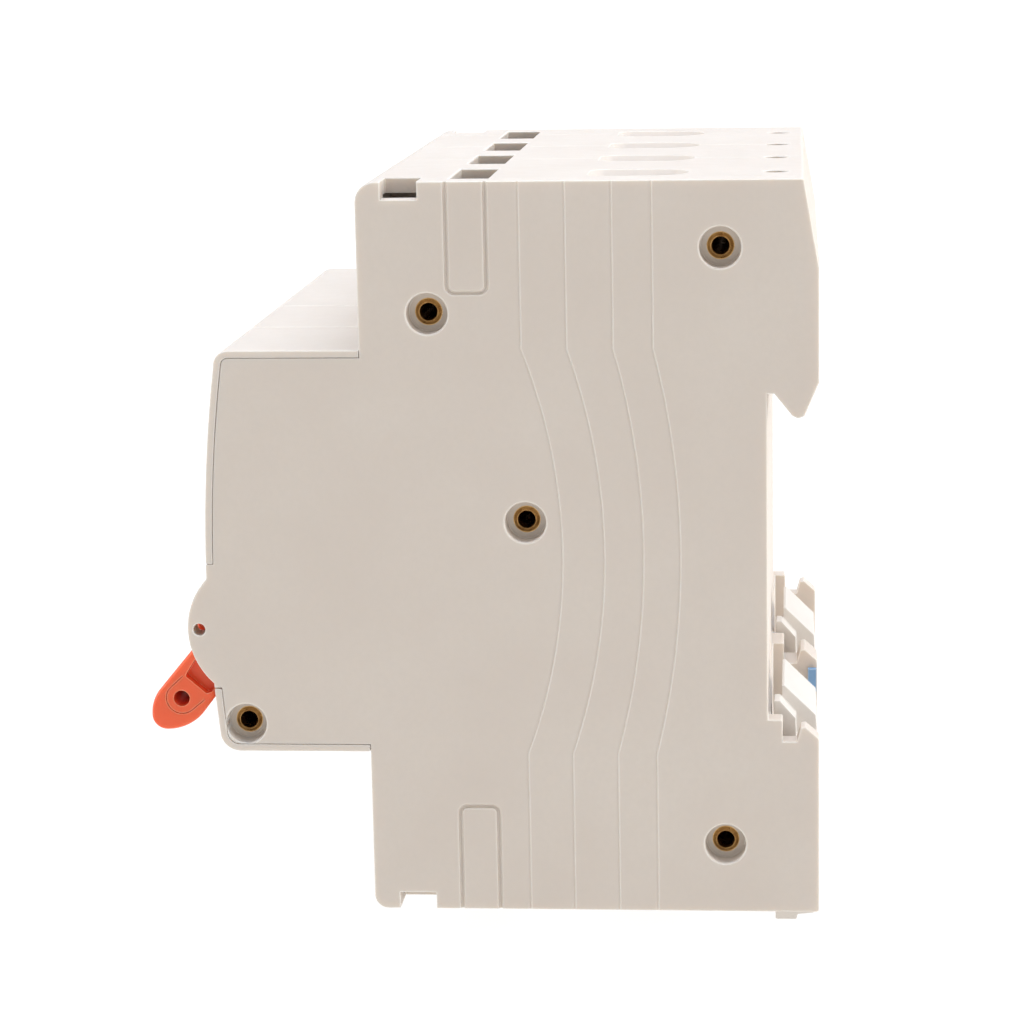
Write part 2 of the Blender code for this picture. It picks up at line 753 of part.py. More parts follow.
def make_toggle(orange):
    """Drum, lever and crank pin in one moulding."""
    low, high = TOGGLE_X
    obj = rod("toggle", TOGGLE_AXIS, DRUM_R, low, high, segments=40)
    weld(obj, prism("lever", lever_outline(), low + 0.2, high - 0.2))
    away = math.radians(180 - LEVER_ANGLE)
    direction = (-math.cos(away), math.sin(away))
    across = (-direction[1], direction[0])

    def behind(along, side):
        return (
            TOGGLE_AXIS[0] + direction[0] * along + across[0] * side,
            TOGGLE_AXIS[1] + direction[1] * along + across[1] * side,
        )

    pocket = [behind(2.2, -12), behind(12, -12), behind(12, 12), behind(2.2, 12)]
    deep = [behind(-3.4, -3.4), behind(12, -3.4), behind(12, 3.4), behind(-3.4, 3.4)]
    carve(
        obj,
        prism("pocket", pocket, low + 1.8, high - 1.6),
        prism("spring_pocket", deep, 25.0, 29.2),
        rod("bore", TOGGLE_AXIS, 1.5, low - 1, high + 1, segments=16),
    )
    lever = math.radians(LEVER_ANGLE)
    eye = from_pivot(-LEVER_HOLE_REACH * math.cos(lever), -LEVER_HOLE_REACH * math.sin(lever))
    recess = [
        from_pivot(-r * math.cos(math.radians(a)), r * math.sin(math.radians(a)))
        for r, a in [(8.4, -25.0), (10.2, -27.5), (10.0, -49.0), (8.4, -47.0)]
    ]
    carve(
        obj,
        prism("recess", recess, high - 2.4, high + 1),
        rod("lever_hole", eye, LEVER_HOLE_R, low - 1, high + 1, segments=20),
    )
    crank = turned_about((TOGGLE_AXIS[0] + CRANK_R, TOGGLE_AXIS[1]), TOGGLE_AXIS, CRANK_ANGLE)
    weld(obj, rod("crank_pin", crank, 1.0, low + 1.0, LINK_X[1] + 0.4, segments=14))
    finish(obj, orange, (sum(TOGGLE_X) / 2, *TOGGLE_AXIS))
    return crank


def make_link(crank, steel):
    """Link from the crank pin to the contact carrier, slotted at the carrier's end."""
    straight = (CARRIER_AXIS[0], CARRIER_AXIS[1] - CARRIER_ARM)
    arm_end = turned_about(straight, CARRIER_AXIS, -CARRIER_TRAVEL / 2)
    along = Vector((arm_end[0] - crank[0], arm_end[1] - crank[1]))
    length = along.length
    tilt = math.degrees(math.atan2(along.y, along.x))

    def bar(start, start_radius, end, end_radius):
        points = arc((crank[0] + end, crank[1]), end_radius, -90, 90, 6)
        points += arc((crank[0] + start, crank[1]), start_radius, 90, 270, 6)
        return [turned_about(point, crank, tilt) for point in points]

    obj = prism("link", bar(0.0, 2.2, length + 0.3, 2.9), LINK_X[0], LINK_X[1])
    carve(
        obj,
        rod("eye", crank, 1.3, 15, 30, segments=14),
        prism("slot", bar(length - 1.2, 1.8, length + 0.35, 1.8), 15, 30),
    )
    finish(obj, steel, (sum(LINK_X) / 2, *crank))
    return arm_end


def make_carrier(arm_end, dark):
    """Insulating shaft with a hub in each pole and one crank arm."""
    profile = [(-HALF_WIDTH + SIDE_COVER + 0.4, 3.0)]
    for pole in reversed(POLES):
        profile += [(pole - 3.6, 3.0), (pole - 3.6, 4.6), (pole + 3.6, 4.6), (pole + 3.6, 3.0)]
    profile.append((HALF_WIDTH - SIDE_COVER - 0.4, 3.0))
    obj = turned("contact_carrier", profile, CARRIER_AXIS, "X", 16)
    arm = arc(arm_end, 1.8, 190, 350, 6)
    arm += [(CARRIER_AXIS[0] + 2.4, CARRIER_AXIS[1]), (CARRIER_AXIS[0] - 2.4, CARRIER_AXIS[1])]
    weld(
        obj,
        prism("crank_arm", arm, 20.0, 21.9),
        rod("crank_pin", arm_end, 1.0, 21.0, LINK_X[1] + 0.4, segments=14),
    )
    finish(obj, dark, (0.0, *CARRIER_AXIS))


def make_toggle_spring(steel):
    """Torsion spring round the toggle's pin."""
    points = []
    turns = 3
    for i in range(turns * 10 + 1):
        angle = 2 * math.pi * i / 10 + math.radians(150)
        y, z = from_pivot(2.1 * math.cos(angle), 2.1 * math.sin(angle))
        points.append((25.6 + 2.6 * i / (turns * 10), y, z))
    end = points[-1]
    points.append((end[0], end[1] - 0.75, end[2] - 1.3))
    finish(wire("toggle_spring", points, 0.28, 0), steel)


def make_trip_parts(grey, steel, dark):
    """Trip relay, its plunger, the latch and the latch's pin."""
    relay = block("trip_relay", RELAY_X, RELAY_Y, RELAY_Z)
    x, z = PLUNGER_XZ
    carve(relay, rod("plunger_bore", (x, z), 1.5, RELAY_Y[0] - 1, RELAY_Y[0] + 7, "Y", 16))
    finish(relay, grey)
    plunger = rod("trip_plunger", (x, z), 1.2, RELAY_Y[0] - 2.0, RELAY_Y[0] + 4.5, "Y", 16)
    finish(plunger, steel, (x, RELAY_Y[0], z))
    lever = arc(LATCH_AXIS, 2.0, 150, 300, 6)
    lever += [(-32.4, -14.2), (-32.4, -10.9), (-33.9, -10.9), (-34.6, -13.0)]
    latch = prism("latch", lever, 27.4, 30.6)
    carve(latch, rod("bore", LATCH_AXIS, 1.2, 20, 40, segments=14))
    finish(latch, dark, (29.0, *LATCH_AXIS))
    finish(rod("latch_pin", LATCH_AXIS, 0.9, 26.4, 31.6, segments=12), steel)


def make_transformer(ferrite, winding):
    """Summation transformer: a ring core and the secondary winding on one stretch of it."""
    centre = (0.0, TOROID_Y)
    inner, outer = TOROID_R
    low, high = TOROID_Z
    thick = 0.8
    core = tube_ring("toroid_core", centre, inner, outer, low, high, "Z", 24)
    finish(core, ferrite)
    radii = (inner - thick, outer + thick)
    coil = tube_ring("toroid_winding", centre, *radii, low - thick, high + thick, "Z", 24)
    carve(coil, tube_ring("hollow", centre, inner - GAP, outer + GAP, low - GAP, high + GAP, "Z", 24))
    wedge = [(0.0, TOROID_Y), (30.0, TOROID_Y - 17.0), (30.0, TOROID_Y + 50), (-30.0, TOROID_Y + 50)]
    wedge.append((-30.0, TOROID_Y - 17.0))
    carve(coil, prism("opening", wedge, -40, 10, "Z"))
    finish(coil, winding)


def make_test_parts(button_plastic, steel, resistor):
    """Test button, its contact strip and the test resistor."""
    half = BUTTON_HALF
    rim = half + 1.0
    height = (BUTTON_Z - half, BUTTON_Z + half)
    button = block("test_button", (BUTTON_X - half, BUTTON_X + half), (FRONT_Y - 0.6, -58.6), height)
    flange = (BUTTON_X - rim, BUTTON_X + rim)
    weld(button, block("flange", flange, (-60.2, -59.0), (BUTTON_Z - rim, BUTTON_Z + rim)))
    finish(button, button_plastic, (BUTTON_X, FRONT_Y, BUTTON_Z))
    strip = [(-56.6, BUTTON_Z - 5.5), (-56.1, BUTTON_Z - 5.5), (-56.1, BUTTON_Z + 4.5)]
    strip += [(-52.0, BUTTON_Z + 7.0), (-52.0, BUTTON_Z + 7.6), (-56.6, BUTTON_Z + 4.8)]
    finish(prism("test_contact", strip, BUTTON_X - 2.0, BUTTON_X + 2.0), steel)
    profile = [(-16.5, 0.35), (-14.0, 0.35), (-14.0, 1.5), (-12.8, 1.8)]
    profile += [(-6.2, 1.8), (-5.0, 1.5), (-5.0, 0.35), (-2.5, 0.35)]
    finish(turned("test_resistor", profile, (BUTTON_X, -49.0), "Z", 10), resistor)


def make_indicator(clear, green):
    """Contact position indicator: a flag drum behind a clear window."""
    wide, tall = WINDOW_HALF
    pane = (BUTTON_X - wide, BUTTON_X + wide)
    height = (WINDOW_Z - tall, WINDOW_Z + tall)
    window = block("indicator_window", pane, (-61.5, -60.7), height)
    finish(window, clear)
    flag = rod("indicator_flag", FLAG_AXIS, FLAG_R, BUTTON_X - 3.2, BUTTON_X + 3.2, segments=24)
    finish(flag, green, (BUTTON_X, *FLAG_AXIS))


def build():
    """Make every piece."""
    clear_scene()
    housing = material("housing_plastic", (0.74, 0.71, 0.67), 0.5)
    cover = material("cover_plastic", (0.80, 0.77, 0.73), 0.45)
    orange = material("toggle_plastic", (0.85, 0.16, 0.05), 0.4)
    clip = material("clip_plastic", (0.86, 0.84, 0.78), 0.45)
    blue = material("blue_plastic", (0.10, 0.28, 0.60), 0.45)
    button = material("button_plastic", (0.75, 0.76, 0.78), 0.4)
    dark = material("dark_plastic", (0.10, 0.10, 0.11), 0.5)
    grey = material("relay_plastic", (0.30, 0.31, 0.33), 0.5)
    green = material("flag_plastic", (0.10, 0.45, 0.18), 0.5)
    clear = material("window_plastic", (0.9, 0.93, 0.95), 0.1, alpha=0.35)
    brass = material("brass", (0.72, 0.50, 0.22), 0.35, 1.0)
    steel = material("steel", (0.62, 0.62, 0.62), 0.35, 1.0)
    zinc = material("zinc_plated_steel", (0.70, 0.71, 0.72), 0.4, 1.0)
    copper = material("copper", (0.78, 0.42, 0.27), 0.4, 1.0)
    ferrite = material("core_coating", (0.12, 0.18, 0.30), 0.6)
    winding = material("winding_lacquer", (0.50, 0.22, 0.10), 0.4)
    resistor = material("resistor_ceramic", (0.45, 0.55, 0.60), 0.6)

    make_housing(housing)
    make_front_cover(cover)
    make_rivets(brass)
    for side, centre in CLIP_CENTRES.items():
        make_clip(side, centre, clip, steel)
    finish(block("rear_tab", (RIB_HALF + GAP, RIB_HALF + 1.1), (4.5, BACK_Y - 0.1), (-24.4, -21.6)), blue)
    for number, pole in enumerate(POLES, start=1):
        for side in (1, -1):
            make_terminal(number, pole, side, steel, zinc)
        make_supply_conductor(number, pole, copper)
        make_load_conductor(number, pole, copper)
        make_moving_contact(number, pole, copper)
    crank = make_toggle(orange)
    arm_end = make_link(crank, steel)
    make_carrier(arm_end, dark)
    finish(rod("toggle_pin", TOGGLE_AXIS, 1.2, 17.0, 34.5, segments=16), steel)
    make_toggle_spring(steel)
    make_trip_parts(grey, steel, dark)
    make_transformer(ferrite, winding)
    make_test_parts(button, steel, resistor)
    make_indicator(clear, green)


build()
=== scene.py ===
"""Looks of the four-pole residual current device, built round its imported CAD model.

Frame: +Z is up, the front with the toggle faces -Y, +X is the side beside the toggle.
Shapes are worked out in millimetres; MM turns them into metres.
"""

import json
import math

import bmesh
import bpy
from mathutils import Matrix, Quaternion, Vector


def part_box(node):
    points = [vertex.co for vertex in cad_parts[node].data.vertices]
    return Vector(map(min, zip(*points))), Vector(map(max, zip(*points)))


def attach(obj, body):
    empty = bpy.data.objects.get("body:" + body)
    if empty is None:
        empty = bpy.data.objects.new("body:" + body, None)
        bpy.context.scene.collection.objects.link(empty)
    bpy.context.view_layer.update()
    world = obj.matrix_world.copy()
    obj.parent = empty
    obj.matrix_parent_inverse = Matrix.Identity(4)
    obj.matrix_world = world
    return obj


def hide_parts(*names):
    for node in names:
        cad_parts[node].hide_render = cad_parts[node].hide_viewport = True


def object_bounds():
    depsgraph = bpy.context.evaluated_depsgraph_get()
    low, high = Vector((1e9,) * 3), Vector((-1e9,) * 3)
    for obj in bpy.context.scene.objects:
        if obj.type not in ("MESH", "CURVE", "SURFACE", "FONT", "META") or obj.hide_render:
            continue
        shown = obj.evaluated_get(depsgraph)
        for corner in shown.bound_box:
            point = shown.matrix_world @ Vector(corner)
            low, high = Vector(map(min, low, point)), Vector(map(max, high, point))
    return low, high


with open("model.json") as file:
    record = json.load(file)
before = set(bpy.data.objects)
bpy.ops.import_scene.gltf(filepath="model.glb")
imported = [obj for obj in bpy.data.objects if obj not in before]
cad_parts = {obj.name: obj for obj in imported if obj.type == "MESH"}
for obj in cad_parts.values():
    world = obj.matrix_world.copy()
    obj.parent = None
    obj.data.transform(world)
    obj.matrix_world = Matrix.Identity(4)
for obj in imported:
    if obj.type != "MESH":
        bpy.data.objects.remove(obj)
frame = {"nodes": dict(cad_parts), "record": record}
cad_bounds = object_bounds()
NODES = frame["nodes"]

MM = 0.001
FAR = 90.0                    # reaches past the whole device


def node_box(node):
    """Lowest and highest corner of a CAD node in millimetres."""
    low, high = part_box(node)
    return low / MM, high / MM


def node_centre(node):
    """Middle of a CAD node's box in millimetres."""
    low, high = node_box(node)
    return (low + high) / 2


# ---------------------------------------------------------------- sizes taken from the frame

COVER_LOW, COVER_HIGH = node_box("right_cover")
FRONT_HIGH = node_box("front_cover")[1]
TOGGLE_LOW, TOGGLE_HIGH = node_box("toggle")
BUTTON_LOW, BUTTON_HIGH = node_box("test_button")
WINDOW_LOW, WINDOW_HIGH = node_box("indicator_window")
HALF_WIDTH = COVER_HIGH.x
COVER_INNER = COVER_LOW.x
HALF_HEIGHT = COVER_HIGH.z
BACK_Y = COVER_HIGH.y
STEP_Z = FRONT_HIGH.z
SHOULDER_Y = FRONT_HIGH.y + 0.3                    # just behind the end of the front cover
FRONT_Y = BUTTON_LOW.y + 0.6                       # the button stands proud of the front face
PIVOT = (node_centre("toggle_pin").y, node_centre("toggle_pin").z)
POLES = [node_centre(f"terminal_screw_top_{number}").x for number in (1, 2, 3, 4)]
SCREW_Z = node_centre("terminal_screw_top_1").z
RIVET_NAMES = ["rear_top", "front_top", "middle", "rear_bottom", "front_bottom"]
RIVETS = {name: node_centre("rivet_" + name) for name in RIVET_NAMES}

# ---------------------------------------------------------------- sizes of the details

FRONT_RADIUS = 168.0          # bow of the front face
FRONT_BOW_Z = -3.0            # height at which the bow stands out most
FRONT_ROWS = 18               # strips over the height of the bow
LOW_CORNER_R = 2.2            # lower corner of the front block
TOP_CORNER_R = 1.6
SKIN = 0.8                    # front cover thickness
SEAM = 0.03                   # hairline between the front cover and what it wraps round
JOINT = 0.12                  # how far each casing closes the CAD's clearance to its neighbour
WALL = 1.6
PARTITION = 1.2
CUTTER_PROUD = 2.0            # how far a cutter stands out of the face that it cuts
SHELL_RIM = 0.14              # rounding round each side of a casing
CHEEK_R = 8.33                # round cheek beside the toggle, about its pivot
CHEEK_TOP = -2.2              # height at which the cheek ends
CHEEK_HOLE_REACH = 7.04       # from the pivot forward to the hole in the cheek
CHEEK_HOLE_R = 0.68
POCKET_R = 2.25               # round pockets of the rivets
POCKET_DEPTH = 2.0
RIVET_R = 1.55
RIVET_BORE_R = 0.93
RIVET_SHANK_R = 1.3
RIVET_CLEARANCE = 0.08
LINE_STRAIGHTS = [-26.55, -21.6, -16.6, -12.3]     # Y of the four relief lines near the edges
LINE_CRESTS = [-22.4, -17.81, -13.55, -9.52]       # Y of the same lines at mid height
LINE_BEND_Z = 22.6            # half the height of the arc between their straight ends
TROUGHS = ((1, -34.36, -30.08, 28.74), (-1, -34.22, -29.95, 28.8))    # up or down, front, back, floor
TROUGH_BEND_R = 0.75
SLOT_Y = (-34.33, -29.9)      # busbar slots
SLOT_HALF = 6.03
TOP_NOTCH = ((-41.36, -37.36), (38.8, 45.0))       # Y and Z reach of the corner notches
LOW_NOTCH = ((-41.25, -37.15), (-45.0, -38.85))
ENTRY_Y = (-19.5, -8.5)       # wire entries
ENTRY_HALF = 3.9
ENTRY_CORNER_R = 1.8
FUNNEL = 1.4                  # depth and width of the lead-in round a wire entry
VENT_Y = 0.9                  # small round holes behind the wire entries
VENT_R = 1.5
ACCESS_R = 3.9                # holes through which the terminal screws are turned
ACCESS_RIM = 0.3
HOLE_RIM = 0.1
WIRING_Y = (-29.0, -WALL)     # opening through the partition of each casing
WIRING_Z = (-24.5, -2.2)
WINDOW_Z = (-15.25, -1.2)     # height of the opening in which the toggle turns
WINDOW_X = 20.0               # left side of the same opening
PIN_BORE_R = 1.5
DRUM_R = 7.9
LEVER_ANGLE = 41.1            # below horizontal, at OFF
LEVER_INSET = 0.2             # the lever is this much narrower than the drum on each side
LEVER_RIM = 0.5
LEVER_POCKET_DEPTH = 1.2
LEVER_HOLE_REACH = 13.3       # from the pivot to the hole through the lever
LEVER_HOLE_R = 0.91
BOSS_R = 1.75                 # holed boss near the tip
BOSS_ARM_REACH = 11.6         # where the groove round the boss starts and ends
BOSS_ARM_ANGLE = 8.925        # the same ends, up and down from the lever's angle
BUTTON_FLANGE = 1.0           # hidden collar round the test button
CONTROL_GAP = 0.3             # clearance round the test button and the window
CLIP_BEAK_REACH = 7.0         # from the middle of a clip to the free end of its beak


# ---------------------------------------------------------------- mesh tools


def place(u, v, w, axis):
    """Put outline coordinates (u, v) and depth w into space for an extrusion axis."""
    if axis == "X":
        return Vector((w, u, v)) * MM
    if axis == "Y":
        return Vector((u, w, v)) * MM
    return Vector((u, v, w)) * MM


def arc(centre, radius, start, end, steps):
    """Points on an arc, angles in degrees from the first axis towards the second."""
    points = []
    for i in range(steps + 1):
        angle = math.radians(start + (end - start) * i / steps)
        points.append((centre[0] + radius * math.cos(angle), centre[1] + radius * math.sin(angle)))
    return points


def filleted(corners, steps=6):
    """Closed outline from corners (u, v) or (u, v, radius); a radius turns the corner into an arc."""
    points = []
    for i, corner in enumerate(corners):
        here = Vector(corner[:2])
        if len(corner) == 2:
            points.append(tuple(here))
            continue
        before = (Vector(corners[i - 1][:2]) - here).normalized()
        after = (Vector(corners[(i + 1) % len(corners)][:2]) - here).normalized()
        half = before.angle(after) / 2
        centre = here + (before + after).normalized() * (corner[2] / math.sin(half))
        start = here + before * (corner[2] / math.tan(half)) - centre
        end = here + after * (corner[2] / math.tan(half)) - centre
        turn = start.angle_signed(end)
        for k in range(steps + 1):
            angle = -turn * k / steps
            spun = Vector((
                start.x * math.cos(angle) - start.y * math.sin(angle),
                start.x * math.sin(angle) + start.y * math.cos(angle),
            ))
            points.append(tuple(centre + spun))
    return points


def as_object(name, bm):
    """Turn a bmesh into a linked object with outward normals."""
    bmesh.ops.recalc_face_normals(bm, faces=bm.faces)
    mesh = bpy.data.meshes.new(name)
    bm.to_mesh(mesh)
    bm.free()
    obj = bpy.data.objects.new(name, mesh)
    bpy.context.scene.collection.objects.link(obj)
    return obj


def loft(name, loops, closed=False):
    """Skin over a list of point loops given in metres; the ends are capped unless closed."""
    bm = bmesh.new()
    rings = [[bm.verts.new(point) for point in loop] for loop in loops]
    pairs = list(zip(rings, rings[1:]))
    if closed:
        pairs.append((rings[-1], rings[0]))
    else:
        bm.faces.new(rings[0])
        bm.faces.new(list(reversed(rings[-1])))
    for ring, following in pairs:
        for i in range(len(ring)):
            j = (i + 1) % len(ring)
            bm.faces.new([ring[i], ring[j], following[j], following[i]])
    return as_object(name, bm)


def prism(name, outline, low, high):
    """Solid made by pushing a closed (y, z) outline from one side to the other."""
    return loft(name, [[place(u, v, w, "X") for u, v in outline] for w in (low, high)])


def block(name, x, y, z):
    """Box from three (low, high) pairs."""
    outline = [(y[0], z[0]), (y[1], z[0]), (y[1], z[1]), (y[0], z[1])]
    return prism(name, outline, x[0], x[1])


def circle(centre, radius, segments):
    """Closed outline of a circle."""
    return arc(centre, radius, 0, 360 - 360 / segments, segments - 1)


def turned(name, profile, centre, segments, closed=False):
    """Solid of revolution about a line across the device: profile lists (x, radius)."""
    loops = [
        [place(u, v, x, "X") for u, v in circle(centre, radius, segments)]
        for x, radius in profile
    ]
    return loft(name, loops, closed)


def offset_outline(outline, distance):
    """Closed outline moved outwards (or inwards when negative) along its corner normals."""
    area = sum(
        a[0] * b[1] - b[0] * a[1] for a, b in zip(outline, outline[1:] + outline[:1])
    )
    sign = 1.0 if area > 0 else -1.0
    moved = []
    for i, (u, v) in enumerate(outline):
        here = Vector((u, v))
        before = (here - Vector(outline[i - 1])).normalized()
        after = (Vector(outline[(i + 1) % len(outline)]) - here).normalized()
        normal_before = Vector((before.y, -before.x)) * sign
        normal_after = Vector((after.y, -after.x)) * sign
        normal = (normal_before + normal_after).normalized()
        reach = distance / max(0.3, normal.dot(normal_after))    # keeps a sharp mitre short
        moved.append(tuple(here + normal * reach))
    return moved


def rimmed(name, outline, low, high, radius, steps=3):
    """Prism whose two end faces have rounded rims."""
    sections = []
    for i in range(steps + 1):
        angle = math.radians(90.0 * i / steps)
        inset = radius * (1 - math.sin(angle))
        rise = radius * (1 - math.cos(angle))
        sections.append((offset_outline(outline, -inset) if inset > 0.001 else outline, rise))
    profile = [(points, low + rise) for points, rise in sections]
    profile += [(points, high - rise) for points, rise in reversed(sections)]
    return loft(name, [[place(u, v, w, "X") for u, v in points] for points, w in profile])


def flared(name, narrow, wide, inner, surface, depth, axis):
    """Cutter that opens out from one outline to another over the last depth below a surface."""
    outward = 1.0 if surface > inner else -1.0
    sections = [
        (narrow, inner),
        (narrow, surface - outward * depth),
        (wide, surface),
        (wide, surface + outward * CUTTER_PROUD),
    ]
    return loft(name, [[place(u, v, w, axis) for u, v in points] for points, w in sections])


def swept(name, path, section, surface, outward):
    """Cutter of constant section along an open path of (y, z) points on a side face.

    The section lists (sideways, height) pairs; height counts outwards from the surface.
    """
    loops = []
    for i, point in enumerate(path):
        here = Vector(point)
        before = (here - Vector(path[i - 1])).normalized() if i else None
        after = (Vector(path[i + 1]) - here).normalized() if i + 1 < len(path) else None
        along = ((before or after) + (after or before)).normalized()
        across = Vector((along.y, -along.x))
        stretch = 1.0 / max(0.5, along.dot(after or before))    # keeps a sharp mitre short
        loop = []
        for sideways, height in section:
            spot = here + across * sideways * stretch
            loop.append(place(spot.x, spot.y, surface + outward * height, "X"))
        loops.append(loop)
    return loft(name, loops)


def evaluated_mesh(obj):
    """Mesh of an object with its modifiers applied."""
    bpy.context.view_layer.update()
    depsgraph = bpy.context.evaluated_depsgraph_get()
    return bpy.data.meshes.new_from_object(obj.evaluated_get(depsgraph))


def combine(target, tool, operation):
    """Boolean of two solids, applied; the tool is used up."""
    modifier = target.modifiers.new("boolean", "BOOLEAN")
    modifier.operation = operation
    modifier.solver = "MANIFOLD"
    modifier.object = tool
    mesh = evaluated_mesh(target)
    target.modifiers.clear()
    target.data = mesh
    bpy.data.objects.remove(tool, do_unlink=True)


def carve(target, *tools):
    """Cut each tool out of the target."""
    for tool in tools:
        combine(target, tool, "DIFFERENCE")


def weld(target, *tools):
    """Join each tool to the target."""
    for tool in tools:
        combine(target, tool, "UNION")


def soften(obj, width, segments=2):
    """Round every real edge, applied."""
    modifier = obj.modifiers.new("edges", "BEVEL")
    modifier.width = width * MM
    modifier.segments = segments
    modifier.limit_method = "ANGLE"
    modifier.angle_limit = math.radians(38.0)
    modifier.use_clamp_overlap = False
    mesh = evaluated_mesh(obj)
    obj.modifiers.clear()
    obj.data = mesh


def shade(obj):
    """Smooth shading that keeps large flat faces flat and real edges crisp."""
    obj.data.shade_smooth()
    obj.data.set_sharp_from_angle(angle=math.radians(42.0))
    modifier = obj.modifiers.new("flat_faces", "WEIGHTED_NORMAL")
    modifier.keep_sharp = True
    modifier.weight = 90


def finish(obj, mat, body, slot, *replaced):
    """Material, shading, body and the CAD nodes that a new piece stands for; the slot argument is not used.
    """
    obj.data.materials.clear()
    obj.data.materials.append(mat)
    shade(obj)
    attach(obj, body)
    if replaced:
        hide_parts(*replaced)
    return obj


def polar(radius, degrees):
    """Point round the toggle's pivot; degrees count from straight ahead upwards."""
    angle = math.radians(degrees)
    return (PIVOT[0] - radius * math.cos(angle), PIVOT[1] + radius * math.sin(angle))


# ---------------------------------------------------------------- materials


class Nodes:
    """Small helper that adds and links shader nodes of one material."""

    def __init__(self, name):
        self.material = bpy.data.materials.new(name)
        self.material.use_nodes = True
        self.tree = self.material.node_tree
        self.shader = self.tree.nodes["Principled BSDF"]
        self.place = self.add("ShaderNodeTexCoord").outputs["Object"]

    def add(self, kind, **values):
        node = self.tree.nodes.new(kind)
        for key, value in values.items():
            setattr(node, key, value)
        return node

    def link(self, source, target):
        self.tree.links.new(source, target)

    def noise(self, scale, detail=2.0, roughness=0.5, stretch=None):
        """Noise over the object's own coordinates, in features per metre."""
        node = self.add("ShaderNodeTexNoise")
        node.inputs["Scale"].default_value = scale
        node.inputs["Detail"].default_value = detail
        node.inputs["Roughness"].default_value = roughness
        source = self.place
        if stretch is not None:
            mapping = self.add("ShaderNodeMapping")
            mapping.inputs["Scale"].default_value = stretch
            self.link(self.place, mapping.inputs["Vector"])
            source = mapping.outputs["Vector"]
        self.link(source, node.inputs["Vector"])
        return node.outputs["Fac"]

    def ramp(self, source, low, high, bottom=0.0, top=1.0):
        """Value mapped from low..high to bottom..top, clamped."""
        node = self.add("ShaderNodeMapRange")
        node.inputs["From Min"].default_value = low
        node.inputs["From Max"].default_value = high
        node.inputs["To Min"].default_value = bottom
        node.inputs["To Max"].default_value = top
        self.link(source, node.inputs["Value"])
        return node.outputs["Result"]

    def mix(self, factor, first, second):
        """Colour between two colours or sockets."""
        node = self.add("ShaderNodeMix", data_type="RGBA")
        self.link(factor, node.inputs["Factor"])
        for value, socket in ((first, node.inputs[6]), (second, node.inputs[7])):
            if isinstance(value, tuple):
                socket.default_value = (*value, 1.0)
            else:
                self.link(value, socket)
        return node.outputs[2]

    def maths(self, operation, first, second):
        """Maths on sockets or numbers."""
        node = self.add("ShaderNodeMath", operation=operation)
        for value, socket in ((first, node.inputs[0]), (second, node.inputs[1])):
            if isinstance(value, (int, float)):
                socket.default_value = value
            else:
                self.link(value, socket)
        return node.outputs[0]

    def edges(self, radius, low, high):
        """1 near edges and 0 on flats, where the rounded and the true normal agree from low to high."""
        rounded = self.add("ShaderNodeBevel", samples=6)
        rounded.inputs["Radius"].default_value = radius * MM
        true = self.add("ShaderNodeNewGeometry").outputs["Normal"]
        dot = self.add("ShaderNodeVectorMath", operation="DOT_PRODUCT")
        self.link(rounded.outputs["Normal"], dot.inputs[0])
        self.link(true, dot.inputs[1])
        return self.ramp(dot.outputs["Value"], low, high, 1.0, 0.0)

    def bump(self, height, depth):
        """Relief from a height socket, with its depth in millimetres."""
        node = self.add("ShaderNodeBump")
        node.inputs["Strength"].default_value = 1.0
        node.inputs["Distance"].default_value = depth * MM
        self.link(height, node.inputs["Height"])
        self.link(node.outputs["Normal"], self.shader.inputs["Normal"])

    def colour(self, source):
        self.link(source, self.shader.inputs["Base Color"])

    def roughness(self, source):
        self.link(source, self.shader.inputs["Roughness"])

    def set(self, **values):
        """Constants straight on the shader's sockets, with underscores for spaces."""
        for key, value in values.items():
            self.shader.inputs[key.replace("_", " ")].default_value = value


def moulded_plastic(
    name, base, shadow, pale, rough=(0.42, 0.55), grain=0.012, specks=0.0, glow=0.0, spread=(1.0, 0.85, 0.7)
):
    """Injection-moulded plastic: soft mottling, eroded-mould grain, painted highlights along the edges and
    a few specks.
    """
    n = Nodes(name)
    cloud = n.ramp(n.noise(55.0, 3.0), 0.35, 0.68)
    mottled = n.mix(cloud, base, shadow)
    fine = n.ramp(n.noise(1600.0, 2.0), 0.3, 0.7, 0.0, 0.3)
    grained = n.mix(fine, mottled, tuple(c * 0.93 for c in base))
    # Painted highlight: near rounded edges the colour is mixed towards the pale colour, as where light
    # catches them
    wear_and_edge_highlight = n.maths("MULTIPLY", n.edges(radius=0.22, low=0.9, high=0.999), 0.9)
    result = n.mix(wear_and_edge_highlight, grained, pale)
    if specks:
        dots = n.add("ShaderNodeTexVoronoi", feature="F1")
        dots.inputs["Scale"].default_value = 260.0
        n.link(n.place, dots.inputs["Vector"])
        near = n.ramp(dots.outputs["Distance"], 0.028, 0.045, 1.0, 0.0)
        rare = n.ramp(n.noise(140.0, 1.0), 0.66, 0.70)
        speck = n.maths("MULTIPLY", n.maths("MULTIPLY", near, rare), specks)
        result = n.mix(speck, result, tuple(c * 0.35 for c in base))
    n.colour(result)
    n.roughness(n.ramp(n.noise(420.0, 4.0), 0.25, 0.75, rough[0], rough[1]))
    height = n.maths("ADD", n.noise(2600.0, 3.0, 0.6), n.maths("MULTIPLY", n.noise(300.0, 2.0), 0.8))
    n.bump(height, grain)
    n.set(Specular_IOR_Level=0.42, IOR=1.5)
    if glow:
        n.set(Subsurface_Weight=glow, Subsurface_Radius=spread, Subsurface_Scale=1.2 * MM)
    return n.material


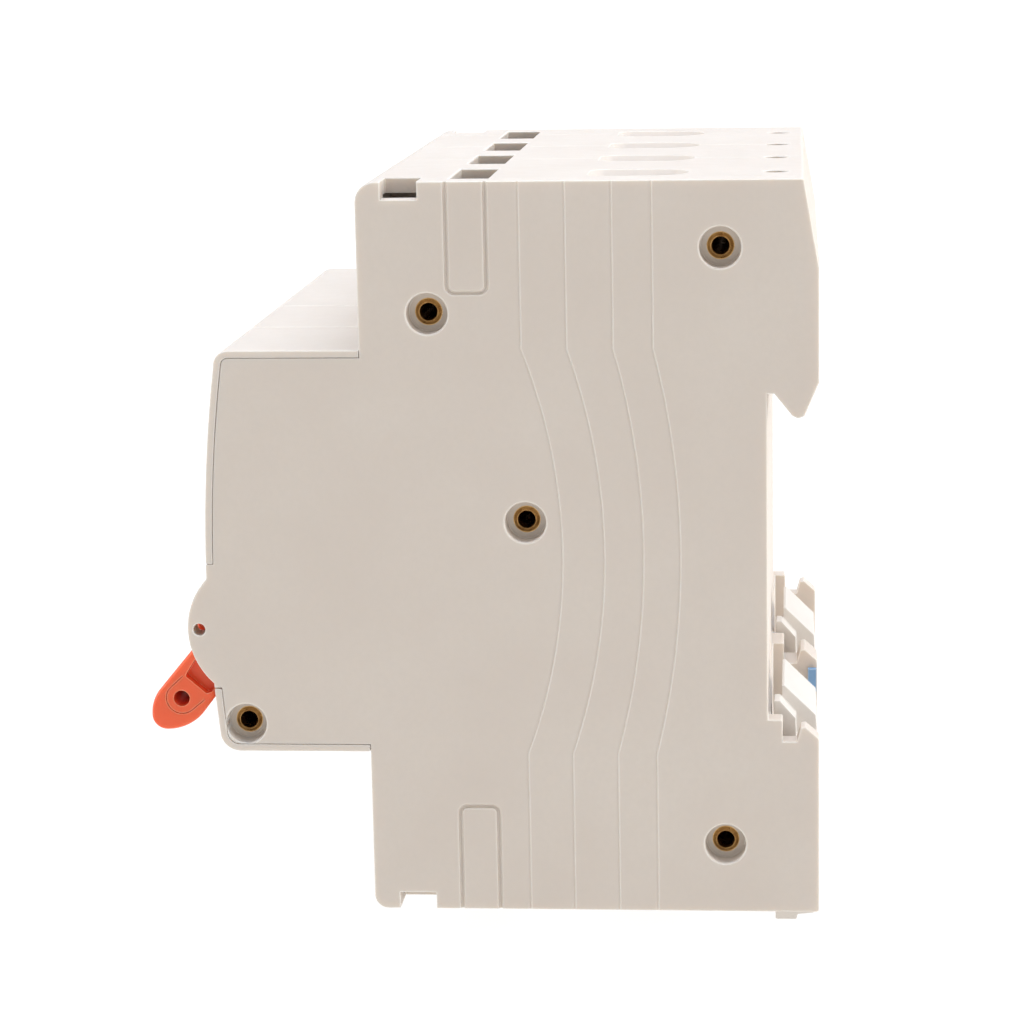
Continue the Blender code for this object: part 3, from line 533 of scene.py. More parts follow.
def brass_metal(name):
    """Turned brass with brown tarnish in patches and a polished lip."""
    n = Nodes(name)
    stain = n.ramp(n.noise(900.0, 4.0, 0.6), 0.38, 0.66)
    base = n.mix(stain, (0.60, 0.36, 0.13), (0.36, 0.19, 0.06))
    lip = n.maths("MULTIPLY", n.edges(radius=0.08, low=0.75, high=0.99), 0.5)
    n.colour(n.mix(lip, base, (0.90, 0.64, 0.32)))
    n.roughness(n.ramp(n.noise(2200.0, 3.0), 0.3, 0.7, 0.22, 0.44))
    n.bump(n.noise(3500.0, 2.0), 0.01)
    n.set(Metallic=1.0)
    return n.material


def plated_metal(name, base, dull, rough=(0.25, 0.45)):
    """Drawn or plated metal with fine directional streaks and cloudy patches."""
    n = Nodes(name)
    cloud = n.ramp(n.noise(260.0, 3.0), 0.35, 0.7)
    n.colour(n.mix(cloud, base, dull))
    streaks = n.noise(1500.0, 3.0, 0.6, stretch=(1.0, 1.0, 6.0))
    n.roughness(n.ramp(streaks, 0.3, 0.7, rough[0], rough[1]))
    n.bump(streaks, 0.006)
    n.set(Metallic=1.0)
    return n.material


def clear_plastic(name):
    """Clear window plastic with faint haze and tiny scratches."""
    n = Nodes(name)
    n.colour(n.mix(n.ramp(n.noise(300.0), 0.4, 0.7), (0.93, 0.96, 0.97), (0.86, 0.90, 0.92)))
    n.roughness(n.ramp(n.noise(1800.0, 2.0, 0.5, (8.0, 1.0, 1.0)), 0.35, 0.75, 0.04, 0.14))
    n.set(Transmission_Weight=0.9, IOR=1.49)
    return n.material


def flag_plastic(name):
    """Flag drum: green on the part that shows at OFF, red on the part that shows at ON."""
    n = Nodes(name)
    low, high = node_box("indicator_flag")
    middle = (low + high) / 2
    split = n.add("ShaderNodeSeparateXYZ")
    n.link(n.place, split.inputs["Vector"])
    below = n.maths("SUBTRACT", middle.z * MM, split.outputs["Z"])
    behind = n.maths("SUBTRACT", split.outputs["Y"], middle.y * MM)
    depth = n.maths("ADD", below, n.maths("MULTIPLY", behind, 0.6))
    red = n.ramp(depth, 1.0 * MM, 1.1 * MM)
    wear_and_edge_highlight = n.ramp(n.noise(900.0, 3.0), 0.4, 0.7)
    green = n.mix(wear_and_edge_highlight, (0.05, 0.42, 0.12), (0.08, 0.50, 0.18))
    n.colour(n.mix(red, green, (0.75, 0.06, 0.04)))
    n.roughness(n.ramp(n.noise(700.0), 0.3, 0.7, 0.35, 0.5))
    n.bump(n.noise(2400.0), 0.01)
    return n.material


def winding_wire(name):
    """Lacquered copper wire laid side by side round the ring, with painted shade between the turns and
    painted highlight on their crests.
    """
    n = Nodes(name)
    split = n.add("ShaderNodeSeparateXYZ")
    n.link(n.place, split.inputs["Vector"])
    centre_y = node_centre("toroid_core").y * MM
    turns = 130.0
    angle = n.maths("ARCTAN2", n.maths("SUBTRACT", split.outputs["Y"], centre_y), split.outputs["X"])
    waves = n.maths("SINE", n.maths("MULTIPLY", angle, turns), 0.0)
    # Painted shade and highlight: the colour runs dark in the creases between turns and bright on their
    # crests, with the same waves as the bump
    n.colour(n.mix(n.ramp(waves, -1.0, 1.0), (0.30, 0.09, 0.03), (0.72, 0.30, 0.12)))
    n.bump(waves, 0.12)
    n.roughness(n.ramp(n.noise(800.0), 0.3, 0.7, 0.2, 0.35))
    n.set(Coat_Weight=0.6)
    return n.material


def resistor_ceramic(name):
    """Small resistor body with colour bands across it."""
    n = Nodes(name)
    split = n.add("ShaderNodeSeparateXYZ")
    n.link(n.place, split.inputs["Vector"])
    colour = n.mix(n.ramp(n.noise(900.0), 0.3, 0.7), (0.42, 0.55, 0.62), (0.36, 0.48, 0.55))
    low, high = node_box("test_resistor")
    bands = [
        (0.30, (0.45, 0.20, 0.05)),
        (0.42, (0.02, 0.02, 0.02)),
        (0.54, (0.65, 0.05, 0.03)),
        (0.68, (0.55, 0.40, 0.10)),
    ]
    for share, tint in bands:
        centre = (low.z + (high.z - low.z) * share) * MM
        gap = n.maths("ABSOLUTE", n.maths("SUBTRACT", split.outputs["Z"], centre), 0.0)
        colour = n.mix(n.ramp(gap, 0.4 * MM, 0.45 * MM, 1.0, 0.0), colour, tint)
    n.colour(colour)
    n.roughness(n.ramp(n.noise(1200.0), 0.3, 0.7, 0.3, 0.5))
    return n.material


def make_materials():
    """Every finish of the object by its slot in the record."""
    # In each moulded plastic below, the third colour is the painted highlight along its edges
    return {
        "housing_plastic": moulded_plastic(
            "housing_plastic", (0.715, 0.638, 0.560), (0.690, 0.607, 0.530), (0.94, 0.89, 0.82),
            specks=0.8, glow=0.35,
        ),
        "cover_plastic": moulded_plastic(
            "cover_plastic", (0.720, 0.643, 0.566), (0.700, 0.620, 0.543), (0.94, 0.89, 0.82),
            rough=(0.38, 0.5), glow=0.35,
        ),
        "toggle_plastic": moulded_plastic(
            "toggle_plastic", (0.93, 0.150, 0.050), (0.88, 0.125, 0.040), (0.97, 0.36, 0.20),
            rough=(0.32, 0.44), grain=0.006, glow=0.5, spread=(1.0, 0.35, 0.2),
        ),
        "clip_plastic": moulded_plastic(
            "clip_plastic", (0.80, 0.75, 0.69), (0.77, 0.715, 0.655), (0.90, 0.87, 0.83), rough=(0.35, 0.5)
        ),
        "blue_plastic": moulded_plastic(
            "blue_plastic", (0.22, 0.39, 0.62), (0.18, 0.34, 0.57), (0.42, 0.56, 0.74), grain=0.006
        ),
        "button_plastic": moulded_plastic(
            "button_plastic", (0.16, 0.30, 0.58), (0.14, 0.27, 0.53), (0.34, 0.48, 0.72), grain=0.005
        ),
        "dark_plastic": moulded_plastic(
            "dark_plastic", (0.045, 0.045, 0.05), (0.035, 0.035, 0.04), (0.12, 0.12, 0.13)
        ),
        "relay_plastic": moulded_plastic(
            "relay_plastic", (0.20, 0.21, 0.22), (0.17, 0.18, 0.19), (0.32, 0.33, 0.34)
        ),
        "core_coating": moulded_plastic(
            "core_coating", (0.08, 0.14, 0.27), (0.06, 0.11, 0.22), (0.18, 0.25, 0.40)
        ),
        "window_plastic": clear_plastic("window_plastic"),
        "flag_plastic": flag_plastic("flag_plastic"),
        "brass": brass_metal("brass"),
        "copper": plated_metal("copper", (0.80, 0.42, 0.27), (0.62, 0.30, 0.18)),
        "steel": plated_metal("steel", (0.60, 0.60, 0.61), (0.48, 0.48, 0.49)),
        "zinc_plated_steel": plated_metal(
            "zinc_plated_steel", (0.72, 0.73, 0.74), (0.60, 0.60, 0.58), rough=(0.3, 0.5)
        ),
        "winding_lacquer": winding_wire("winding_lacquer"),
        "resistor_ceramic": resistor_ceramic("resistor_ceramic"),
    }


# ---------------------------------------------------------------- housing shapes


def face_y(z, inset):
    """How far forward the bowed front stands at a height."""
    return FRONT_Y + FRONT_RADIUS - math.sqrt((FRONT_RADIUS - inset) ** 2 - (z - FRONT_BOW_Z) ** 2)


def front_profile(inset):
    """Curved front from the lower shoulder corner to the upper one, set back by inset."""
    low_corner = LOW_CORNER_R - inset
    top_corner = TOP_CORNER_R - inset
    edge = STEP_Z - inset
    low_z = -edge + low_corner
    top_z = edge - top_corner
    points = arc((face_y(low_z, inset) + low_corner, low_z), low_corner, 270, 180, 8)
    for i in range(1, FRONT_ROWS):
        z = low_z + (top_z - low_z) * i / FRONT_ROWS
        points.append((face_y(z, inset), z))
    points += arc((face_y(top_z, inset) + top_corner, top_z), top_corner, 180, 90, 8)
    return points


def circles_meet(first, first_radius, second, second_radius):
    """The two points where two circles cross."""
    across = Vector(second) - Vector(first)
    distance = across.length
    along = (distance ** 2 + first_radius ** 2 - second_radius ** 2) / (2 * distance)
    height = math.sqrt(first_radius ** 2 - along ** 2)
    middle = Vector(first) + across.normalized() * along
    sideways = Vector((-across.y, across.x)).normalized() * height
    return middle + sideways, middle - sideways


def cheek_profile(inset):
    """Front profile that comes flush beside the toggle's opening, where the round cheek stands out."""
    low_z, high_z = WINDOW_Z
    bow_centre = (FRONT_Y + FRONT_RADIUS, FRONT_BOW_Z)
    ends = circles_meet(PIVOT, CHEEK_R, bow_centre, FRONT_RADIUS)
    lower, upper = sorted(ends, key=lambda point: point.y)
    angles = [math.degrees(math.atan2(p.y - PIVOT[1], p.x - PIVOT[0])) % 360 for p in (lower, upper)]
    set_back = front_profile(inset)
    below = [p for p in set_back if p[1] < low_z - 0.3]
    above = [p for p in set_back if p[1] > high_z + 0.3]
    cheek = arc(PIVOT, CHEEK_R, angles[0], angles[1], 32)
    return below + [
        (face_y(low_z - SEAM, inset), low_z - SEAM),
        (face_y(low_z - SEAM, 0.0), low_z - SEAM),
    ] + cheek + [
        (face_y(CHEEK_TOP, 0.0), CHEEK_TOP, 0.5),
        (face_y(high_z - SEAM, 0.0), high_z - SEAM, 0.2),
        (face_y(high_z - SEAM, inset), high_z - SEAM),
    ] + above


def body_outline(cheek=False):
    """Side view of the housing behind the front cover, round from the lower shoulder.

    From BACK_Y on, the corners follow the rail seat: an upper hook, the flat seat and the clip's bay.
    """
    inset = SKIN + SEAM
    profile = cheek_profile(inset) if cheek else front_profile(inset)
    corners = [(SHOULDER_Y, -(STEP_Z - inset))] + profile + [
        (SHOULDER_Y, STEP_Z - inset),
        (SHOULDER_Y, HALF_HEIGHT, 2.2),
        (3.95, HALF_HEIGHT, 0.3),
        (BACK_Y, 31.2, 1.2),
        (BACK_Y, 18.9, 0.3),
        (4.0, 15.2, 0.3),
        (3.35, 14.93, 0.3),
        (2.7, 15.25, 0.3),
        (0.78, 17.65),
        (0.0, 17.65),
        (0.0, -18.65),
        (1.6, -18.65, 0.2),
        (1.6, -21.15),
        (3.15, -21.15),
        (3.6, -19.55, 0.2),
        (4.1, -19.45, 0.22),
        (BACK_Y, -20.8, 0.3),
        (BACK_Y, -HALF_HEIGHT, 0.3),
        (SHOULDER_Y, -HALF_HEIGHT, 1.5),
    ]
    return filleted(corners)


def pocket_outline():
    """Inside of a casing, with a hollow nose behind the middle of the front cover."""
    step = STEP_Z - SKIN - 0.25 - WALL
    top = HALF_HEIGHT - WALL
    shoulder = SHOULDER_Y + WALL
    front = -59.2
    nose = -63.0
    nose_half = 17.5
    rail = 20.4
    return [
        (shoulder, top), (2.4, top), (4.0, 30.9), (4.0, rail), (-WALL, rail), (-WALL, -top),
        (shoulder, -top), (shoulder, -step), (front, -step), (front, -nose_half), (nose, -nose_half),
        (nose, nose_half), (front, nose_half), (front, step), (shoulder, step),
    ]


def relief_path(straight, crest):
    """One relief line: straight near both ends and a long arc between."""
    sagitta = crest - straight
    radius = (LINE_BEND_Z ** 2 + sagitta ** 2) / (2 * sagitta)
    spread = math.degrees(math.asin(LINE_BEND_Z / radius))
    bow = arc((crest - radius, 0.0), radius, spread, -spread, 28)
    return [(straight, FAR)] + bow + [(straight, -FAR)]


def side_relief(target, surface, outward):
    """Four relief lines and two U-shaped troughs on a side face, each swept from its cross section."""
    line = [(-0.12, 0.3), (0.26, 0.3), (0.26, 0.0), (0.03, -0.1), (-0.06, -0.1), (-0.12, 0.0)]
    for straight, crest in zip(LINE_STRAIGHTS, LINE_CRESTS):
        carve(target, swept("line", relief_path(straight, crest), line, surface, outward))
    half = [(0.36, 0.3), (0.36, 0.0), (0.27, -0.03), (0.2, -0.12), (0.17, -0.32)]
    trough = half + [(-sideways, height) for sideways, height in reversed(half)]
    bend = TROUGH_BEND_R
    for sign, front, back, floor in TROUGHS:
        path = [(front, FAR)] + arc((front + bend, floor + bend), bend, 180, 270, 6)
        path += arc((back - bend, floor + bend), bend, 270, 360, 6) + [(back, FAR)]
        path = [(y, sign * z) for y, z in path]
        carve(target, swept("trough", path, trough, surface, outward))


def rivet_pockets(target, surface, outward):
    """Round pockets in which the rivet ends sit, and the clearance holes below them."""
    floor = surface - outward * POCKET_DEPTH
    hole = RIVET_SHANK_R + RIVET_CLEARANCE
    rim = 0.13
    profile = [
        (surface - outward * 9.0, hole),
        (floor, hole),
        (floor, POCKET_R - 0.1),
        (floor + outward * 0.12, POCKET_R),
        (surface - outward * rim, POCKET_R),
        (surface, POCKET_R + rim),
        (surface + outward * CUTTER_PROUD, POCKET_R + rim),
    ]
    for centre in RIVETS.values():
        carve(target, turned("pocket", profile, (centre.y, centre.z), 56))


def end_notches(target, side):
    """Small corner notches at the shoulder edges of one side."""
    reach = sorted((side * (HALF_WIDTH - 4.5), side * (HALF_WIDTH + 1.0)))
    carve(target, block("notch", reach, *TOP_NOTCH), block("notch", reach, *LOW_NOTCH))


def make_side_cover(mats):
    """Flat cover of the right side, with its cheek beside the toggle."""
    obj = rimmed("side_cover", body_outline(cheek=True), COVER_INNER, HALF_WIDTH, SHELL_RIM)
    end_notches(obj, 1)
    side_relief(obj, HALF_WIDTH, 1)
    rivet_pockets(obj, HALF_WIDTH, 1)
    eye = (PIVOT[0] - CHEEK_HOLE_REACH, PIVOT[1])
    rim = 0.08
    narrow = circle(eye, CHEEK_HOLE_R, 28)
    wide = circle(eye, CHEEK_HOLE_R + rim, 28)
    seat = [(COVER_INNER - 1.0, PIN_BORE_R), (COVER_INNER + 1.3, PIN_BORE_R)]
    carve(
        obj,
        flared("cheek_hole", narrow, wide, COVER_INNER - 1.0, HALF_WIDTH, rim, "X"),
        turned("pin_seat", seat, PIVOT, 28),
    )
    finish(obj, mats["housing_plastic"], "housing", "housing_plastic", "right_cover")


def entry_outline(pole, inset):
    """D-shaped wire entry seen from above: (x, y), round towards the rail."""
    half = ENTRY_HALF - inset
    rear = ENTRY_Y[1] - ENTRY_HALF
    front = ENTRY_Y[0] + inset
    corner = ENTRY_CORNER_R - inset
    outline = arc((pole, rear), half, 0, 180, 24)
    outline += arc((pole - half + corner, front + corner), corner, 180, 270, 5)
    outline += arc((pole + half - corner, front + corner), corner, 270, 360, 5)
    return outline


def terminal_openings(target, pole):
    """Wire entry, busbar slot, small round hole and screw access of a pole, above and below."""
    slot = [
        (pole - SLOT_HALF, SLOT_Y[0]), (pole + SLOT_HALF, SLOT_Y[0]),
        (pole + SLOT_HALF, SLOT_Y[1]), (pole - SLOT_HALF, SLOT_Y[1]),
    ]
    vent = (pole, VENT_Y)
    upright = (
        ("entry", entry_outline(pole, FUNNEL), entry_outline(pole, 0.0), FUNNEL),
        ("slot", offset_outline(slot, -HOLE_RIM), slot, HOLE_RIM),
        ("vent", circle(vent, VENT_R - HOLE_RIM, 28), circle(vent, VENT_R, 28), HOLE_RIM),
    )
    back = SHOULDER_Y + WALL + 1.0
    for side in (1, -1):
        surface = side * HALF_HEIGHT
        inner = surface - side * (WALL + 1.0)
        for name, narrow, wide, rim in upright:
            carve(target, flared(name, narrow, wide, inner, surface, rim, "Z"))
        access = (pole, side * SCREW_Z)
        narrow = circle(access, ACCESS_R - ACCESS_RIM, 48)
        wide = circle(access, ACCESS_R, 48)
        carve(target, flared("access", narrow, wide, back, SHOULDER_Y, ACCESS_RIM, "Y"))


def clip_centre(side):
    """Middle of a rail clip's plate, across the device."""
    return node_box("din_clip_" + side)[0].x + CLIP_BEAK_REACH


def clip_channels(target, low, high):
    """Recesses behind the rail seat in which the two clips slide, as far as they cross a casing."""
    bays = {"right": (2.5, HALF_WIDTH - 2.6), "left": (-HALF_WIDTH + 2.5, -2.5)}
    depth = (0.4, 4.3)            # behind the rail seat, for the plate's two legs and between them
    for side, bay in bays.items():
        centre = clip_centre(side)
        recesses = [
            (bay, (0.3, 8.0), (-26.5, -15.0)),
            ((centre - 5.8, centre - 1.8), depth, (-45.0, -26.0)),
            ((centre + 1.8, centre + 5.8), depth, (-45.0, -26.0)),
            ((centre - 2.0, centre + 2.0), depth, (-39.4, -26.0)),
        ]
        for x, y, z in recesses:
            if x[1] > low and x[0] < high:
                carve(target, block("channel", x, y, z))


def make_casing(name, node, low, high, partition, poles, mats):
    """One casing of the stack: rounded outside, hollow inside, with its terminals' openings."""
    obj = rimmed(name, body_outline(), low, high, SHELL_RIM)
    if low < -HALF_WIDTH + 0.1:
        end_notches(obj, -1)
    if high > HALF_WIDTH - 3.0:
        end_notches(obj, 1)
    carve(obj, block("wiring_window", (low + 2.0, high + 2.0), WIRING_Y, WIRING_Z))
    pocket = pocket_outline()
    if partition is None:
        carve(obj, prism("pocket", pocket, low + 2.5, high + 1.0))
    else:
        carve(obj, prism("pocket", pocket, low - 1.0, partition - PARTITION / 2))
        carve(obj, prism("pocket", pocket, partition + PARTITION / 2, high + 1.0))
    for pole in poles:
        terminal_openings(obj, pole)
    clip_channels(obj, low, high)
    if partition is None:
        side_relief(obj, low, -1)
        rivet_pockets(obj, low, -1)
    else:
        profile = [(-FAR, RIVET_SHANK_R + 0.1), (FAR, RIVET_SHANK_R + 0.1)]
        for centre in RIVETS.values():
            carve(obj, turned("hole", profile, (centre.y, centre.z), 24))
    finish(obj, mats["housing_plastic"], "housing", "housing_plastic", node)


def make_casings(mats):
    """The four casings between the side cover and the left side."""
    for name, node, partition, poles in (
        ("casing_right", "right_casing", 18.0, POLES[:2]),
        ("casing_middle_right", "middle_casing_right", 0.0, POLES[1:3]),
        ("casing_middle_left", "middle_casing_left", -18.0, POLES[2:]),
        ("casing_left", "left_casing", None, POLES[3:]),
    ):
        low, high = node_box(node)
        left = low.x if partition is None else low.x - JOINT
        make_casing(name, node, left, high.x + JOINT, partition, poles, mats)


def make_front_cover(mats):
    """Thin shell wrapped round the front block, with the openings of the controls."""
    outer = front_profile(0.0)
    inner = front_profile(SKIN)
    end = SHOULDER_Y - 0.04
    outline = [(end, -STEP_Z)] + outer + [(end, STEP_Z), (end, STEP_Z - SKIN)]
    outline += list(reversed(inner)) + [(end, -STEP_Z + SKIN)]
    obj = prism("front_shell", outline, -HALF_WIDTH, HALF_WIDTH)
    cheek = [(-60.9, -14.2), (-60.9, -3.1)] + arc(PIVOT, CHEEK_R, 142, 218, 24)
    weld(obj, prism("cheek", cheek, WINDOW_X - 1.1, WINDOW_X))
    through = (-70.0, -59.0)
    middle = (BUTTON_LOW + BUTTON_HIGH) / 2
    key = (BUTTON_HIGH.x - BUTTON_LOW.x) / 2 + CONTROL_GAP - BUTTON_FLANGE
    lens_x = (WINDOW_LOW.x - CONTROL_GAP, WINDOW_HIGH.x + CONTROL_GAP)
    lens_z = (WINDOW_LOW.z - CONTROL_GAP, WINDOW_HIGH.z + CONTROL_GAP)
    carve(
        obj,
        block("toggle_window", (WINDOW_X, FAR), through, (WINDOW_Z[0] - 0.15, WINDOW_Z[1])),
        block("button_hole", (middle.x - key, middle.x + key), through, (middle.z - key, middle.z + key)),
        block("window_hole", lens_x, through, lens_z),
    )
    for x in (0.0, 18.0):
        carve(obj, block("joint", (x - 0.15, x + 0.15), (-64.0, -40.0), (STEP_Z - 0.4, STEP_Z + 1.0)))
    soften(obj, 0.13)
    finish(obj, mats["cover_plastic"], "housing", "cover_plastic", "front_cover")


# ---------------------------------------------------------------- small parts


def make_rivets(mats):
    """Hollow rivets with rolled-over ends that sit on the floors of their pockets."""
    end = node_box("rivet_middle")[1].x
    seat = HALF_WIDTH - POCKET_DEPTH + 0.01
    half = [
        (seat, RIVET_SHANK_R),
        (seat, RIVET_R - 0.05),
        (end - 0.5, RIVET_R),
        (end - 0.36, RIVET_R - 0.04),
        (end - 0.24, RIVET_R - 0.16),
        (end - 0.12, RIVET_BORE_R + 0.28),
        (end - 0.03, RIVET_BORE_R + 0.2),
        (end, RIVET_BORE_R + 0.13),
        (end - 0.03, RIVET_BORE_R + 0.06),
        (end - 0.12, RIVET_BORE_R),
    ]
    profile = half + [(-x, r) for x, r in reversed(half)]
    for name, centre in RIVETS.items():
        obj = turned("rivet_" + name + "_tube", profile, (centre.y, centre.z), 56, closed=True)
        finish(obj, mats["brass"], "housing", "brass", "rivet_" + name)


def from_pivot(y, z):
    """Point given from the toggle's pivot."""
    return (PIVOT[0] + y, PIVOT[1] + z)


def lever_outline():
    """Side view of the lever: three arcs for its back, tip and underside, closed inside the drum."""
    outline = [from_pivot(-5.9, 0.11)]
    outline += arc(from_pivot(-9.15, -10.6), 4.4, 140, 180, 8)
    outline += arc(from_pivot(-11.85, -10.73), 1.7, 180, 270, 10)[1:]
    outline += arc(from_pivot(-11.8, -7.08), 5.35, 270, 323, 12)
    outline += [from_pivot(-6.23, -8.61), from_pivot(-6.25, -6.27), from_pivot(-4.68, -5.2)]
    return outline


def lever_details(target, face, outward):
    """Sunk pocket beside the drum and the groove round the holed boss, on one flat side."""
    pocket = filleted([
        polar(DRUM_R, -22.0), (*polar(9.6, -27.8), 0.3), (*polar(11.35, -32.8), 0.3),
        (*polar(10.86, -49.0), 0.3), (*polar(10.3, -50.6), 0.2), polar(DRUM_R, -50.0),
    ], 4)
    eye = polar(LEVER_HOLE_REACH, -LEVER_ANGLE)
    section = [(-0.06, 0.5), (0.06, 0.5), (0.06, 0.0), (0.04, -0.3), (-0.04, -0.3), (-0.06, 0.0)]
    around = [polar(BOSS_ARM_REACH, -LEVER_ANGLE + BOSS_ARM_ANGLE)]
    around += arc(eye, BOSS_R, LEVER_ANGLE + 90.0, LEVER_ANGLE + 270.0, 14)
    around += [polar(BOSS_ARM_REACH, -LEVER_ANGLE - BOSS_ARM_ANGLE)]
    floor = face - outward * LEVER_POCKET_DEPTH
    carve(
        target,
        prism("pocket", pocket, floor, face + outward * CUTTER_PROUD),
        swept("groove", around, section, face, outward),
    )


def make_toggle(mats):
    """Drum and lever, with the lever's hole and the bore for the pin through both."""
    low, high = TOGGLE_LOW.x, TOGGLE_HIGH.x
    left, right = low + LEVER_INSET, high - LEVER_INSET
    obj = rimmed("lever", lever_outline(), left, right, LEVER_RIM, steps=5)
    end = [(0.0, DRUM_R - 0.3), (0.1, DRUM_R - 0.1), (0.3, DRUM_R)]
    profile = [(low + x, r) for x, r in end] + [(high - x, r) for x, r in reversed(end)]
    weld(obj, turned("drum", profile, PIVOT, 96))
    lever_details(obj, right, 1)
    lever_details(obj, left, -1)
    eye = polar(LEVER_HOLE_REACH, -LEVER_ANGLE)
    carve(
        obj,
        turned("eye", [(low - 1.0, LEVER_HOLE_R), (high + 1.0, LEVER_HOLE_R)], eye, 36),
        turned("bore", [(low - 1.0, PIN_BORE_R), (high + 1.0, PIN_BORE_R)], PIVOT, 32),
    )
    finish(obj, mats["toggle_plastic"], "toggle", "toggle_plastic", "toggle")


def rounded_square(centre, half, radius):
    """Outline seen from the front, (x, z), round a point in space."""
    corners = ((-1, -1), (1, -1), (1, 1), (-1, 1))
    return filleted([(centre.x + u * half, centre.z + v * half, radius) for u, v in corners])


def make_button(mats):
    """Test button with rounded edges, a dished face and a collar that keeps it in its hole."""
    middle = (BUTTON_LOW + BUTTON_HIGH) / 2
    half = (BUTTON_HIGH.x - BUTTON_LOW.x) / 2 - BUTTON_FLANGE
    face = BUTTON_LOW.y
    outline = rounded_square(middle, half, 0.7)
    collar = rounded_square(middle, half + BUTTON_FLANGE - 0.1, 0.6)
    collar_front = -60.2
    collar_back = -59.0
    sections = [
        (offset_outline(outline, -0.5), face + 0.22),
        (offset_outline(outline, -0.42), face + 0.04),
        (offset_outline(outline, -0.3), face),
        (offset_outline(outline, -0.08), face + 0.12),
        (outline, face + 0.4),
        (outline, collar_front),
        (collar, collar_front),
        (collar, collar_back),
        (outline, collar_back),
        (outline, collar_back + 0.4),
    ]
    obj = loft("test_key", [[place(x, z, y, "Y") for x, z in points] for points, y in sections])
    finish(obj, mats["button_plastic"], "button", "button_plastic", "test_button")


def make_window(mats):
    """Clear window with a bevelled rim over the indicator flag."""
    obj = block(
        "indicator_lens", (WINDOW_LOW.x, WINDOW_HIGH.x), (WINDOW_LOW.y, WINDOW_HIGH.y),
        (WINDOW_LOW.z, WINDOW_HIGH.z),
    )
    soften(obj, 0.18, 3)
    finish(obj, mats["window_plastic"], "housing", "window_plastic", "indicator_window")


def make_clips(mats):
    """Sliding rail clips: a beak behind the rail, a shoulder, a plate with a window and a tail."""
    beak = filleted([
        (1.5, -16.4, 0.1), (1.78, -16.32, 0.15), (5.3, -19.75, 0.2),
        (5.4, -21.5), (3.0, -21.9), (1.5, -21.9),
    ], 3)
    shoulder = filleted([
        (0.6, -17.4, 0.2), (1.3, -17.4, 0.25), (3.05, -19.4, 0.25),
        (3.1, -22.3), (1.75, -22.3), (0.6, -18.9),
    ], 3)
    tail = filleted([
        (0.7, -41.1), (5.2, -41.1), (5.2, -43.2, 0.3),
        (3.2, -43.4, 0.2), (3.1, -44.0, 0.2), (0.7, -44.0, 0.2),
    ], 3)
    for side in ("right", "left"):
        end = node_box("din_clip_" + side)[1].x
        centre = clip_centre(side)
        obj = prism("rail_clip_" + side, beak, centre - CLIP_BEAK_REACH, centre + 4.5)
        weld(
            obj,
            prism("shoulder", shoulder, centre + 4.2, end),
            block("plate", (centre - 5.4, centre + 5.4), (1.75, 3.0), (-41.5, -21.0)),
            prism("tail", tail, centre - 4.0, centre + 4.0),
        )
        carve(obj, block("window", (centre - 2.3, centre + 2.3), (0.0, 6.0), (-41.2, -32.8)))
        soften(obj, 0.15)
        finish(obj, mats["clip_plastic"], "clip_" + side, "clip_plastic", "din_clip_" + side)


def dress_cad_nodes(mats):
    """Detailed finishes, and rounded edges where they show, for the CAD nodes that stay."""
    slots = {part["node"]: part["material_slot"] for part in frame["record"]["subparts"]}
    rounded = ("terminal_", "supply_", "load_", "rear_tab", "latch", "link", "trip_relay")
    for name, obj in NODES.items():
        if obj.hide_render:
            continue
        obj.data.materials.clear()
        obj.data.materials.append(mats[slots[name]])
        if name.startswith(rounded):
            modifier = obj.modifiers.new("edges", "BEVEL")
            modifier.width = 0.1 * MM
            modifier.segments = 2
            modifier.limit_method = "ANGLE"
            modifier.angle_limit = math.radians(40.0)


# ---------------------------------------------------------------- studio


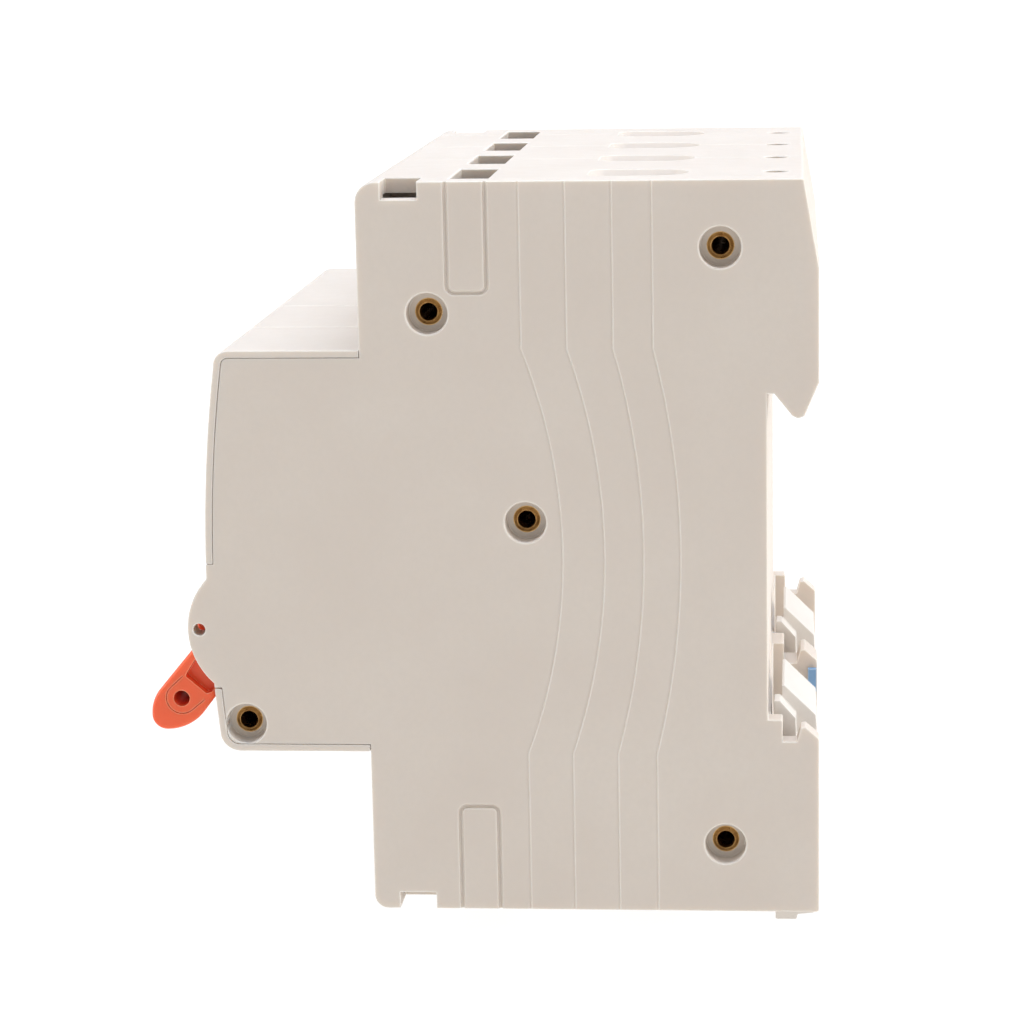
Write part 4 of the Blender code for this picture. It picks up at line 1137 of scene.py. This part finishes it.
def make_camera():
    """Camera on the right-hand side, a little above, with the photograph's framing."""
    data = bpy.data.cameras.new("camera")
    data.sensor_width = 36.0
    data.lens = 100.82
    data.shift_x = -0.0801
    data.shift_y = -0.0511
    data.clip_start = 0.01
    data.clip_end = 50.0
    camera = bpy.data.objects.new("camera", data)
    bpy.context.scene.collection.objects.link(camera)
    heading = math.radians(184.109)
    pitch = math.radians(-10.893)
    roll = math.radians(-0.847)
    look = Vector((
        math.cos(heading) * math.cos(pitch), math.sin(heading) * math.cos(pitch), math.sin(pitch)
    ))
    camera.location = (0.34034, 0.00312, 0.06921)
    camera.rotation_mode = "QUATERNION"
    camera.rotation_quaternion = look.to_track_quat("-Z", "Y") @ Quaternion((0, 0, 1), roll)
    bpy.context.scene.camera = camera


def make_studio():
    """White glowing floor, even pale surroundings and soft suns from above, in front and behind."""
    scene = bpy.context.scene
    scene.view_settings.view_transform = "Standard"
    world = bpy.data.worlds.new("surroundings")
    world.use_nodes = True
    background = world.node_tree.nodes["Background"]
    background.inputs["Color"].default_value = (0.97, 0.985, 1.0, 1.0)
    background.inputs["Strength"].default_value = 0.36
    scene.world = world
    n = Nodes("floor_paint")
    n.colour(n.mix(n.ramp(n.noise(8.0, 3.0), 0.3, 0.7), (0.12, 0.12, 0.12), (0.10, 0.10, 0.10)))
    n.set(Roughness=0.9, Specular_IOR_Level=0.1)
    n.set(Emission_Color=(1.0, 0.99, 0.975, 1.0), Emission_Strength=0.97)
    size = 9.0
    height = cad_bounds[0].z
    corners = ((-size, -size), (size, -size), (size, size), (-size, size))
    bm = bmesh.new()
    bm.faces.new([bm.verts.new((x, y, height)) for x, y in corners])
    floor = as_object("floor", bm)
    floor.data.materials.append(n.material)
    for name, direction, strength, spread, tint in (
        ("overhead", (0.12, -0.05, -1.0), 3.3, 70.0, (0.957, 1.03, 1.16)),
        ("rear", (-0.02, -1.0, -0.15), 2.2, 40.0, (1.0, 0.99, 0.97)),
        ("front", (-0.02, 1.0, -0.15), 1.2, 40.0, (1.0, 0.99, 0.97)),
    ):
        data = bpy.data.lights.new(name, "SUN")
        data.color = tint
        data.energy = strength
        data.angle = math.radians(spread)
        lamp = bpy.data.objects.new(name, data)
        lamp.rotation_mode = "QUATERNION"
        lamp.rotation_quaternion = Vector(direction).to_track_quat("-Z", "Y")
        scene.collection.objects.link(lamp)


def build():
    """Make every piece, the studio and the camera."""
    mats = make_materials()
    make_side_cover(mats)
    make_casings(mats)
    make_front_cover(mats)
    make_rivets(mats)
    make_toggle(mats)
    make_button(mats)
    make_window(mats)
    make_clips(mats)
    dress_cad_nodes(mats)
    make_camera()
    make_studio()


build()
